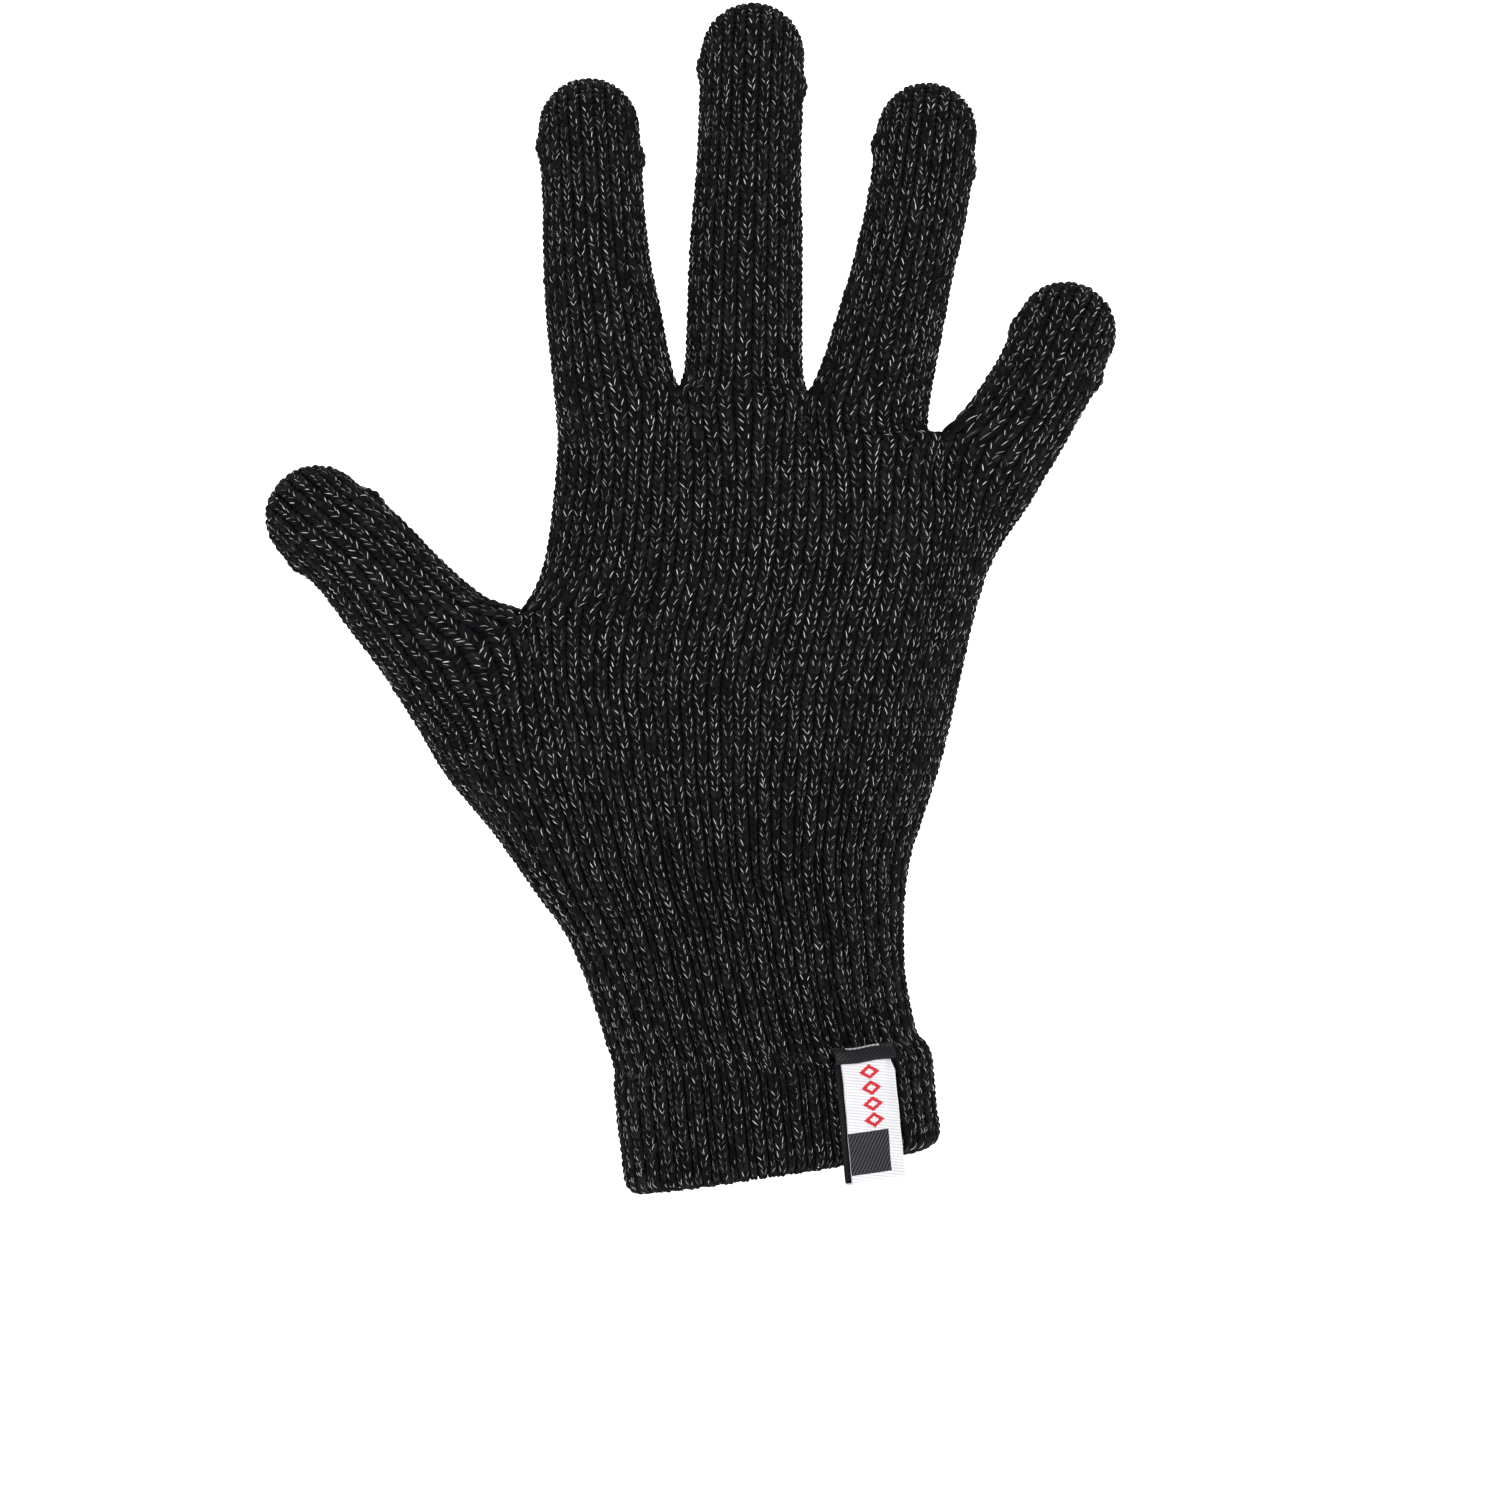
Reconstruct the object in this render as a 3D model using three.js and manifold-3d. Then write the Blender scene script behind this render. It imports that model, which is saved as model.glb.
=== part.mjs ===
// Flat-knit touchscreen glove for a right hand, in the filled shape it has when worn.
// Units are millimetres. The origin is the centre of the cuff opening, +Z runs up to the fingertips,
// -Y is the back of the hand, +Y the palm and -X the thumb side.
import * as THREE from "three";
import Module from "manifold-3d";

const wasm = await Module();
wasm.setup();

// ---- driving dimensions ----
const WALL = 1.6; // knitted fabric, loops included
const SEAM_GAP = 0.3; // clearance between neighbouring solids
const FINGER_SIDES = 18; // facets round a finger
const HAND_SIDES = 32; // facets round the palm
const RIBS = 40; // knit ribs round the wrist
const RIB_RISE = 0.45; // how far a rib stands out of its groove
const ROUNDNESS = 2.25; // superellipse exponent of a finger's section
const HINGE_PALMAR = 3.5; // hinge line below a finger's centre line, on the palm side
const CREASE_BACK = 2.5; // half length of the free fabric over a knuckle
const CREASE_FLARE = 0.65; // extra half length per millimetre towards the palm
const WRIST_CREASE = 8; // half length of the free fabric round the wrist
const LARGE = 160; // reach of a cutting solid beyond what it cuts

const HEM_LAYER = 1.3; // one layer of the turned-up hem
const HEM_GROOVE = 1.6; // space between the two layers
const HEM_FOLD = 1.6; // fabric at the fold
const ELASTIC = { low: 4, high: 12, thickness: 0.8 };
const YARN_RADIUS = 0.55;

const LABEL = { width: 10.6, height: 22.5, layer: 0.4, gap: 0.7, lift: 0.5 };
const STRIP = { width: 11.4, height: 3.6, thickness: 0.5 };
const THREAD_RADIUS = 0.22;

// ---- sections of the arm tube, from the rim up: centre, tilt, half width, half depth ----
const RIM_TILT = 8.8;
const HEM_SECTIONS = [
  { c: [0, 0, 0], tilt: RIM_TILT, a: 30.0, b: 21.6, y: 0 },
  { c: [-0.25, 0, 1.6], tilt: RIM_TILT, a: 30.7, b: 22.3, y: 0 },
  { c: [-1.3, 0, 10.4], tilt: 7.6, a: 30.5, b: 22.1, y: 0 },
  { c: [-2.2, 0, 20.0], tilt: 6.4, a: 29.9, b: 21.5, y: 0 },
];
const WRIST_SECTIONS = [
  { c: [-2.3, 0, 20.3], tilt: 6.4, a: 28.6, b: 20.0 },
  { c: [-4.4, 0, 28.0], tilt: 6.1, a: 28.9, b: 20.0 },
  { c: [-6.2, 0, 36.5], tilt: 5.6, a: 29.6, b: 20.2 },
  { c: [-8.1, 0, 45.7], tilt: 4.3, a: 31.6, b: 20.6 },
  { c: [-10.9, 0, 55.5], tilt: 3.3, a: 35.2, b: 20.8 },
  { c: [-13.1, 0, 65.0], tilt: 2.0, a: 39.5, b: 20.0 },
];
// ---- palm: height, left and right edge, back and palm surface ----
const PALM_SECTIONS = [
  { z: 61.8, left: -52.0, right: 26.1, back: -20.2, front: 20.9 },
  { z: 68, left: -55.6, right: 27.4, back: -19.2, front: 21.4 },
  { z: 77.5, left: -55.0, right: 30.6, back: -17.6, front: 21.6 },
  { z: 89, left: -51.5, right: 33.3, back: -16.6, front: 20.2 },
  { z: 100, left: -49.2, right: 35.9, back: -15.8, front: 18.0 },
  { z: 108, left: -47.4, right: 37.6, back: -15.2, front: 16.6 },
  { z: 115.5, left: -44.7, right: 40.5, back: -14.6, front: 15.4 },
  { z: 123, left: -43.3, right: 42.2, back: -13.8, front: 14.2 },
  { z: 130.5, left: -42.4, right: 38.5, back: -13.0, front: 13.2 },
  { z: 137.5, left: -42.0, right: 29.6, back: -12.2, front: 12.2 },
  { z: 144.5, left: -41.6, right: 28.2, back: -11.0, front: 11.0 },
];
// ---- fingers, from the tip's centre down: x, y, z, half width, half depth ----
const FINGERS = {
  index: {
    line: [
      [-36.3, 0.0, 197.4, 9.7, 9.1],
      [-35.4, 0.0, 183.0, 9.7, 9.2],
      [-34.8, 0.0, 172.0, 10.2, 9.6],
      [-33.4, 0.0, 161.0, 11.1, 10.0],
      [-31.8, 0.0, 149.0, 11.3, 10.4],
      [-30.8, 0.0, 136.0, 11.2, 10.8],
      [-30.2, 0.0, 118.0, 11.0, 11.0],
    ],
    joints: [
      { name: "end", from_tip: 18.5 },
      { name: "middle", from_tip: 37.5 },
      { name: "root", from_tip: 54.5 },
    ],
  },
  middle: {
    line: [
      [-5.2, 0.0, 211.5, 9.9, 9.2],
      [-5.8, 0.0, 194.0, 9.9, 9.3],
      [-6.4, 0.0, 176.0, 10.7, 9.8],
      [-6.7, 0.0, 162.0, 11.0, 10.2],
      [-6.9, 0.0, 149.0, 11.2, 10.6],
      [-7.0, 0.0, 136.0, 11.4, 11.0],
      [-7.0, 0.0, 118.0, 11.4, 11.2],
    ],
    joints: [
      { name: "end", from_tip: 19.5 },
      { name: "middle", from_tip: 42.5 },
      { name: "root", from_tip: 67.0 },
    ],
  },
  ring: {
    line: [
      [27.9, 0.0, 196.6, 9.6, 9.0],
      [26.2, 0.0, 183.5, 9.6, 9.1],
      [23.8, 0.0, 172.5, 9.6, 9.4],
      [21.2, 0.0, 161.5, 10.1, 9.8],
      [18.1, 0.0, 149.0, 10.8, 10.3],
      [15.6, 0.0, 137.0, 11.2, 10.7],
      [12.6, 0.0, 118.0, 11.2, 11.0],
    ],
    joints: [
      { name: "end", from_tip: 18.5 },
      { name: "middle", from_tip: 38.0 },
      { name: "root", from_tip: 56.0 },
    ],
  },
  little: {
    line: [
      [54.2, 0.0, 159.0, 9.2, 8.6],
      [50.5, 0.0, 151.0, 9.2, 8.7],
      [46.0, 0.0, 143.0, 9.3, 8.9],
      [41.4, 0.0, 135.4, 9.8, 9.3],
      [36.4, 0.0, 127.0, 10.2, 9.8],
      [28.4, 0.0, 112.0, 10.4, 10.2],
    ],
    joints: [
      { name: "end", from_tip: 17.5 },
      { name: "root", from_tip: 33.5 },
    ],
  },
  thumb: {
    line: [
      [-87.8, 2.0, 123.5, 10.0, 9.4],
      [-74.5, 3.0, 109.2, 10.7, 10.0],
      [-62.9, 4.0, 94.8, 11.4, 11.0],
      [-53.0, 4.5, 80.6, 12.2, 13.4],
      [-38.0, 3.0, 67.0, 12.8, 15.5],
    ],
    joints: [
      { name: "end", from_tip: 24.0 },
      { name: "root", from_tip: 42.0 },
    ],
  },
};
// The thumb bends half towards the palm and half across it, towards the index finger.
const THUMB_ACROSS = 0.6;

// ---- small helpers ----
const vec = (x, y, z) => new THREE.Vector3(x, y, z);
const rad = THREE.MathUtils.degToRad;

function superellipse(angle, power) {
  const c = Math.cos(angle);
  const s = Math.sin(angle);
  const x = Math.sign(c) * Math.abs(c) ** (2 / power);
  const y = Math.sign(s) * Math.abs(s) ** (2 / power);
  return [x, y];
}

// A closed body through rings of points; an end is a flat cap unless its ring is a single point.
function skin(rings) {
  const points = [];
  const faces = [];
  const sides = Math.max(...rings.map((ring) => ring.length));
  const starts = [];
  for (const ring of rings) {
    starts.push(points.length);
    points.push(...ring);
  }
  for (let r = 0; r + 1 < rings.length; r += 1) {
    for (let i = 0; i < sides; i += 1) {
      const j = (i + 1) % sides;
      const low = starts[r];
      const high = starts[r + 1];
      if (rings[r].length === 1) {
        faces.push([low, high + j, high + i]);
      } else if (rings[r + 1].length === 1) {
        faces.push([low + i, low + j, high]);
      } else {
        faces.push([low + i, low + j, high + j]);
        faces.push([low + i, high + j, high + i]);
      }
    }
  }
  for (const [r, flip] of [[0, true], [rings.length - 1, false]]) {
    const ring = rings[r];
    if (ring.length > 1) {
      const hub = points.length;
      points.push(ring.reduce((sum, p) => sum.add(p), vec(0, 0, 0)).divideScalar(ring.length));
      for (let i = 0; i < sides; i += 1) {
        const j = (i + 1) % sides;
        const a = starts[r] + i;
        const b = starts[r] + j;
        faces.push(flip ? [hub, b, a] : [hub, a, b]);
      }
    }
  }
  return body(points, faces);
}

// A closed body swept round a closed path of profile rings, such as a ring of yarn.
function closedSkin(rings) {
  const points = rings.flat();
  const sides = rings[0].length;
  const faces = [];
  rings.forEach((ring, r) => {
    const next = ((r + 1) % rings.length) * sides;
    for (let i = 0; i < sides; i += 1) {
      const j = (i + 1) % sides;
      const low = r * sides;
      faces.push([low + i, low + j, next + j]);
      faces.push([low + i, next + j, next + i]);
    }
  });
  return body(points, faces);
}

function body(points, faces) {
  const volume = faces.reduce((sum, [a, b, c]) => {
    return sum + points[a].dot(points[b].clone().cross(points[c]));
  }, 0);
  const turned = volume < 0 ? faces.map(([a, b, c]) => [a, c, b]) : faces;
  const mesh = new wasm.Mesh({
    numProp: 3,
    vertProperties: new Float32Array(points.flatMap((p) => [p.x, p.y, p.z])),
    triVerts: new Uint32Array(turned.flat()),
  });
  return new wasm.Manifold(mesh);
}

// One ring of an arm or palm section, shrunk by inset and rippled by ribs where wanted.
function sectionRing(centre, across, deep, a, b, sides, power, ripple = 0) {
  const ring = [];
  for (let i = 0; i < sides; i += 1) {
    const [u, v] = superellipse((2 * Math.PI * i) / sides, power);
    const rise = i % 2 === 0 ? 0 : -ripple;
    ring.push(centre.clone().addScaledVector(across, u * (a + rise)).addScaledVector(deep, v * (b + rise)));
  }
  return ring;
}

const ARM_POWER = 2.2;

function armRing(section, inset, sides, ripple = 0) {
  const across = vec(Math.cos(rad(section.tilt)), 0, Math.sin(rad(section.tilt)));
  const deep = vec(0, 1, 0);
  const { a, b } = section;
  return sectionRing(vec(...section.c), across, deep, a - inset, b - inset, sides, ARM_POWER, ripple);
}

// A section between two listed ones, by height.
function mixSections(low, high, t) {
  const mix = (p, q) => p + (q - p) * t;
  return {
    c: low.c.map((value, i) => mix(value, high.c[i])),
    tilt: mix(low.tilt, high.tilt),
    a: mix(low.a, high.a),
    b: mix(low.b, high.b),
  };
}

function armTube(sections, inset, sides, ripple = 0) {
  return skin(sections.map((section) => armRing(section, inset, sides, ripple)));
}

function extended(sections, below, above) {
  const first = sections[0];
  const last = sections[sections.length - 1];
  const shift = (section, step) => {
    const dx = -Math.sin(rad(section.tilt)) * step;
    const dz = Math.cos(rad(section.tilt)) * step;
    return { ...section, c: [section.c[0] + dx, section.c[1], section.c[2] + dz] };
  };
  return [shift(first, -below), ...sections.slice(1, -1), shift(last, above)];
}

function palmRing(section, inset) {
  const { z, left, right, back, front } = section;
  const centre = vec((left + right) / 2, (back + front) / 2, z);
  const a = (right - left) / 2 - inset;
  const b = (front - back) / 2 - inset;
  const power = 2.3 + (0.6 * (z - 61.8)) / (144.5 - 61.8);
  return sectionRing(centre, vec(1, 0, 0), vec(0, 1, 0), a, b, HAND_SIDES, power);
}

// ---- finger tubes ----
function palmarDirection(name, along) {
  const across = vec(along.z, 0, -along.x);
  const palm = vec(0, 1, 0);
  if (name !== "thumb") {
    return palm;
  }
  return palm.multiplyScalar(Math.sqrt(1 - THUMB_ACROSS ** 2)).addScaledVector(across, THUMB_ACROSS);
}

function fingerFrames(finger) {
  return finger.line.map((point, i) => {
    const upper = finger.line[Math.max(i - 1, 0)];
    const lower = finger.line[Math.min(i + 1, finger.line.length - 1)];
    const along = vec(upper[0] - lower[0], 0, upper[2] - lower[2]).normalize();
    return {
      centre: vec(point[0], point[1], point[2]),
      along,
      across: vec(along.z, 0, -along.x),
      deep: vec(0, 1, 0),
      a: point[3],
      b: point[4],
    };
  });
}

const DOME_RINGS = [0.36, 0.7, 0.93];

function fingerTube(finger, inset) {
  const frames = fingerFrames(finger);
  const rings = frames.map((f) => {
    return sectionRing(f.centre, f.across, f.deep, f.a - inset, f.b - inset, FINGER_SIDES, ROUNDNESS);
  });
  const tip = frames[0];
  const reach = tip.a - inset;
  for (const height of DOME_RINGS) {
    const scale = Math.sqrt(1 - height ** 2);
    const centre = tip.centre.clone().addScaledVector(tip.along, reach * height);
    const a = (tip.a - inset) * scale;
    const b = (tip.b - inset) * scale;
    rings.unshift(sectionRing(centre, tip.across, tip.deep, a, b, FINGER_SIDES, ROUNDNESS));
  }
  rings.unshift([tip.centre.clone().addScaledVector(tip.along, reach)]);
  return skin(rings);
}

// The point on a finger's centre line at a distance below its tip, with the local directions.
function stationAt(name, fromTip) {
  const finger = FINGERS[name];
  const frames = fingerFrames(finger);
  let left = fromTip - finger.line[0][3];
  for (let i = 0; i + 1 < frames.length; i += 1) {
    const step = frames[i].centre.distanceTo(frames[i + 1].centre);
    if (left <= step) {
      const centre = frames[i].centre.clone().lerp(frames[i + 1].centre, left / step);
      const along = frames[i].centre.clone().sub(frames[i + 1].centre);
      along.y = 0;
      along.normalize();
      return { centre, along, palmar: palmarDirection(name, along) };
    }
    left -= step;
  }
  throw new Error("station below the finger");
}

// A prism across a finger at one hinge. The outline is given in distances along the finger and towards
// the palm from the hinge line.
function prism(station, offset, outline) {
  const shape = new THREE.Shape(outline.map(([s, p]) => new THREE.Vector2(s, p)));
  const geometry = new THREE.ExtrudeGeometry(shape, { depth: 2 * LARGE, bevelEnabled: false, steps: 1 });
  geometry.translate(0, 0, -LARGE);
  const hinge = station.along.clone().cross(station.palmar).normalize();
  const origin = station.centre.clone().addScaledVector(station.palmar, offset);
  const matrix = new THREE.Matrix4().makeBasis(station.along, station.palmar, hinge).setPosition(origin);
  geometry.applyMatrix4(matrix);
  return fromGeometry(geometry);
}

function fromGeometry(geometry) {
  const position = geometry.getAttribute("position");
  const seen = new Map();
  const points = [];
  const remap = [];
  for (let i = 0; i < position.count; i += 1) {
    const point = new THREE.Vector3().fromBufferAttribute(position, i);
    const key = point.toArray().map((value) => value.toFixed(5)).join(",");
    if (!seen.has(key)) {
      seen.set(key, points.length);
      points.push(point);
    }
    remap.push(seen.get(key));
  }
  const index = geometry.index ? Array.from(geometry.index.array) : remap.map((_, i) => i);
  const faces = [];
  for (let i = 0; i < index.length; i += 3) {
    const face = [remap[index[i]], remap[index[i + 1]], remap[index[i + 2]]];
    if (new Set(face).size === 3) {
      faces.push(face);
    }
  }
  return body(points, faces);
}

// Everything between a hinge and the tip, starting gap beyond the crease.
function beyond(station, back, flare, gap) {
  const start = back + gap;
  return prism(station, HINGE_PALMAR, [
    [start, -LARGE],
    [LARGE, -LARGE],
    [LARGE, LARGE],
    [start + flare * LARGE, LARGE],
    [start, 0],
  ]);
}

// Everything on the palm side of a hinge's distal cut, so the crease included.
function creaseBlock(station, back, flare) {
  return prism(station, HINGE_PALMAR, [
    [-back, -LARGE],
    [back, -LARGE],
    [back, 0],
    [back + flare * LARGE, LARGE],
    [-back - flare * LARGE, LARGE],
    [-back, 0],
  ]);
}

// ---- the knitted body as one shell, then cut at its creases ----
const wristOuter = armTube(WRIST_SECTIONS, 0, 2 * RIBS, RIB_RISE);
const wristInner = armTube(extended(WRIST_SECTIONS, 4, 0), WALL + RIB_RISE, HAND_SIDES);
const palmOuter = skin(PALM_SECTIONS.map((section) => palmRing(section, 0)));
const palmInner = skin(
  PALM_SECTIONS.map((section, i) => {
    const last = i === PALM_SECTIONS.length - 1;
    return palmRing(last ? { ...section, z: section.z - WALL } : section, WALL);
  }),
);

const fingerOuter = {};
const fingerInner = {};
for (const [name, finger] of Object.entries(FINGERS)) {
  fingerOuter[name] = fingerTube(finger, 0);
  fingerInner[name] = fingerTube(finger, WALL);
}

let outer = palmOuter.add(wristOuter);
let inner = palmInner.add(wristInner);
for (const name of Object.keys(FINGERS)) {
  outer = outer.add(fingerOuter[name]);
  inner = inner.add(fingerInner[name]);
}

// A half space whose lower face lies on an arm section.
function aboveSection(section, gap) {
  const along = vec(-Math.sin(rad(section.tilt)), 0, Math.cos(rad(section.tilt)));
  const station = { centre: vec(...section.c), along, palmar: vec(0, 1, 0) };
  return prism(station, 0, [
    [gap, -LARGE],
    [2 * LARGE, -LARGE],
    [2 * LARGE, LARGE],
    [gap, LARGE],
  ]);
}

// The arm's cross-section at a height on its own centre line.
function armAt(height) {
  let i = 0;
  while (i + 2 < WRIST_SECTIONS.length && WRIST_SECTIONS[i + 1].c[2] < height) {
    i += 1;
  }
  const low = WRIST_SECTIONS[i];
  const high = WRIST_SECTIONS[i + 1];
  return mixSections(low, high, (height - low.c[2]) / (high.c[2] - low.c[2]));
}

const WRIST_HINGE_HEIGHT = 50.5;
const wristHinge = armAt(WRIST_HINGE_HEIGHT);
const wristUpper = aboveSection(wristHinge, WRIST_CREASE);
const wristUpperGap = aboveSection(wristHinge, WRIST_CREASE + SEAM_GAP);
const wristLower = aboveSection(wristHinge, -WRIST_CREASE);
const wristLowerGap = aboveSection(wristHinge, -WRIST_CREASE - SEAM_GAP);

const shell = outer.subtract(inner);
const pieces = {};
pieces.wrist_rib = shell.subtract(wristLowerGap);
pieces.wrist_crease = shell.intersect(wristLower).subtract(wristUpper);

let handShell = shell.intersect(wristUpperGap);
const ownTube = {};
for (const [name, finger] of Object.entries(FINGERS)) {
  const stations = finger.joints.map((joint) => stationAt(name, joint.from_tip));
  const tube = fingerOuter[name].subtract(fingerInner[name]);
  ownTube[name] = tube;
  const names = finger.joints.length === 3 ? ["tip", "middle", "base"] : ["tip", "base"];
  const last = stations.length - 1;
  const root = stations[last];
  // Cutting solids stay inside this finger's own swollen tube, so they never reach its neighbours.
  const reach = fingerTube(finger, -0.25);
  const outerRoot = beyond(root, -CREASE_BACK, -CREASE_FLARE, -SEAM_GAP);
  handShell = handShell.subtract(reach.intersect(outerRoot));
  stations.forEach((station, i) => {
    let segment = tube.intersect(beyond(station, CREASE_BACK, CREASE_FLARE, SEAM_GAP));
    if (i > 0) {
      const previous = stations[i - 1];
      segment = segment.subtract(beyond(previous, -CREASE_BACK, -CREASE_FLARE, -SEAM_GAP));
    }
    pieces[`${name}_${names[i]}`] = segment;
    const crease = tube.intersect(creaseBlock(station, CREASE_BACK, CREASE_FLARE));
    pieces[`${name}_${finger.joints[i].name}_crease`] = crease;
  });
}
pieces.hand_shell = handShell;

// ---- cuff: doubled hem, elastic in its fold, linking yarn over the join ----
const hemOuter = armTube(HEM_SECTIONS, 0, 2 * RIBS, RIB_RISE);
const hemTotal = 2 * HEM_LAYER + HEM_GROOVE + RIB_RISE;
const hemInner = armTube(extended(HEM_SECTIONS, 4, 4), hemTotal, HAND_SIDES);
const grooveOuterInset = HEM_LAYER + RIB_RISE;
const grooveInnerInset = grooveOuterInset + HEM_GROOVE;
const grooveSections = extended(HEM_SECTIONS, -HEM_FOLD, 4);
const groove = armTube(grooveSections, grooveOuterInset, HAND_SIDES).subtract(
  armTube(extended(HEM_SECTIONS, 4, 6), grooveInnerInset, HAND_SIDES),
);
pieces.cuff_hem = hemOuter.subtract(hemInner).subtract(groove);

const ELASTIC_CLEAR = (HEM_GROOVE - ELASTIC.thickness) / 2;
function hemAt(height) {
  const low = HEM_SECTIONS[1];
  const high = HEM_SECTIONS[3];
  return mixSections(low, high, (height - low.c[2]) / (high.c[2] - low.c[2]));
}
const elasticSections = [hemAt(ELASTIC.low), hemAt(ELASTIC.high)];
pieces.hem_elastic = armTube(elasticSections, grooveOuterInset + ELASTIC_CLEAR, HAND_SIDES).subtract(
  armTube(extended(elasticSections, 2, 2), grooveInnerInset - ELASTIC_CLEAR, HAND_SIDES),
);

const YARN_STEPS = 32;
const YARN_FACETS = 6;
function yarnRing() {
  const base = mixSections(WRIST_SECTIONS[0], WRIST_SECTIONS[1], 0.12);
  const outwards = YARN_RADIUS + SEAM_GAP;
  const rings = [];
  const path = armRing(base, -outwards, YARN_STEPS);
  const centre = vec(...base.c);
  const up = vec(-Math.sin(rad(base.tilt)), 0, Math.cos(rad(base.tilt)));
  for (const point of path) {
    const out = point.clone().sub(centre).normalize();
    const ring = [];
    for (let i = 0; i < YARN_FACETS; i += 1) {
      const angle = (2 * Math.PI * i) / YARN_FACETS;
      const p = point.clone().addScaledVector(out, YARN_RADIUS * Math.cos(angle));
      ring.push(p.addScaledVector(up, YARN_RADIUS * Math.sin(angle)));
    }
    rings.push(ring);
  }
  return closedSkin(rings);
}
pieces.linking_yarn = yarnRing();

// ---- label: a folded woven loop sewn under a satin strip at the top of the hem ----
// Local axes: x across the label, y up it and z out of the fabric.
const LABEL_ANGLE = -57; // place round the hem, from the little-finger side towards the back
const hemSpot = mixSections(HEM_SECTIONS[2], HEM_SECTIONS[3], 0.79);

function labelMatrix() {
  const { a, b, tilt } = hemSpot;
  const angle = rad(LABEL_ANGLE);
  const [u, v] = superellipse(angle, ARM_POWER);
  const across = vec(Math.cos(rad(tilt)), 0, Math.sin(rad(tilt)));
  const up = vec(-Math.sin(rad(tilt)), 0, Math.cos(rad(tilt)));
  const point = vec(...hemSpot.c).addScaledVector(across, u * a).add(vec(0, v * b, 0));
  const out = across
    .clone()
    .multiplyScalar(Math.abs(u) ** (ARM_POWER - 1) / a)
    .add(vec(0, (-(Math.abs(v) ** (ARM_POWER - 1))) / b, 0))
    .normalize();
  const side = up.clone().cross(out).normalize();
  return new THREE.Matrix4().makeBasis(side, up, out).setPosition(point);
}
const labelFrame = labelMatrix();

function placedExtrusion(outline, width) {
  const shape = new THREE.Shape(outline.map(([y, z]) => new THREE.Vector2(y, z)));
  const geometry = new THREE.ExtrudeGeometry(shape, { depth: width, bevelEnabled: false, steps: 1 });
  geometry.translate(0, 0, -width / 2);
  // The outline is drawn in the label's up and outward directions and extruded across it.
  const turn = new THREE.Matrix4().makeBasis(vec(0, 1, 0), vec(0, 0, 1), vec(1, 0, 0));
  geometry.applyMatrix4(turn);
  geometry.applyMatrix4(labelFrame);
  return fromGeometry(geometry);
}

const SAG = 0.55; // how far the curved hem falls away under the label's edges
const labelBack = SAG + LABEL.lift;
const labelFront = labelBack + 2 * LABEL.layer + LABEL.gap;
const slotFront = labelFront - LABEL.layer;
const slotBack = labelBack + LABEL.layer;
pieces.label_loop = placedExtrusion(
  [
    [0, labelBack],
    [0, slotBack],
    [-LABEL.height + LABEL.layer, slotBack],
    [-LABEL.height + LABEL.layer, slotFront],
    [0, slotFront],
    [0, labelFront],
    [-LABEL.height + LABEL.layer, labelFront],
    [-LABEL.height, slotFront],
    [-LABEL.height, slotBack],
    [-LABEL.height + LABEL.layer, labelBack],
  ],
  LABEL.width,
);
const stripBack = labelBack + 0.2;
pieces.label_strip = placedExtrusion(
  [
    [SEAM_GAP, stripBack],
    [SEAM_GAP, stripBack + STRIP.thickness],
    [SEAM_GAP + STRIP.height, stripBack + STRIP.thickness],
    [SEAM_GAP + STRIP.height, stripBack],
  ],
  STRIP.width,
);

function threadBar() {
  const length = STRIP.width - 2;
  const sides = 6;
  const rings = [-length / 2, length / 2].map((x) => {
    const ring = [];
    for (let i = 0; i < sides; i += 1) {
      const angle = (2 * Math.PI * i) / sides;
      const y = SEAM_GAP + STRIP.height / 2 + THREAD_RADIUS * Math.cos(angle);
      const z = stripBack + STRIP.thickness + SEAM_GAP + THREAD_RADIUS * (1 + Math.sin(angle));
      ring.push(vec(x, y, z).applyMatrix4(labelFrame));
    }
    return ring;
  });
  return skin(rings);
}
pieces.label_thread = threadBar();

// ---- named nodes ----
const COLOURS = {
  knit: { colour: 0x1b1b1e, roughness: 0.95 },
  crease: { colour: 0x141417, roughness: 0.97 },
  rib: { colour: 0x18181b, roughness: 0.95 },
  elastic: { colour: 0x2b2b2b, roughness: 0.8 },
  yarn: { colour: 0x101012, roughness: 0.9 },
  label: { colour: 0xe9e9ec, roughness: 0.55 },
  satin: { colour: 0x23252a, roughness: 0.4 },
};

function lookOf(name) {
  if (name.endsWith("crease")) {
    return COLOURS.crease;
  }
  const own = {
    wrist_rib: COLOURS.rib,
    cuff_hem: COLOURS.rib,
    hem_elastic: COLOURS.elastic,
    linking_yarn: COLOURS.yarn,
    label_loop: COLOURS.label,
    label_strip: COLOURS.satin,
    label_thread: COLOURS.yarn,
  };
  return own[name] ?? COLOURS.knit;
}

function node(name, solid) {
  const mesh = solid.getMesh();
  const geometry = new THREE.BufferGeometry();
  geometry.setAttribute("position", new THREE.BufferAttribute(new Float32Array(mesh.vertProperties), 3));
  geometry.setIndex(new THREE.BufferAttribute(new Uint32Array(mesh.triVerts), 1));
  geometry.computeVertexNormals();
  const { colour, roughness } = lookOf(name);
  const material = new THREE.MeshStandardMaterial({ color: colour, roughness, metalness: 0 });
  const result = new THREE.Mesh(geometry, material);
  result.name = name;
  return result;
}

const glove = new THREE.Group();
glove.name = "touchscreen_glove";
for (const [name, solid] of Object.entries(pieces)) {
  glove.add(node(name, solid));
}

export default glove;
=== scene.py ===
"""Looks of the flat-knit touchscreen glove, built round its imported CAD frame."""
import math

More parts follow.
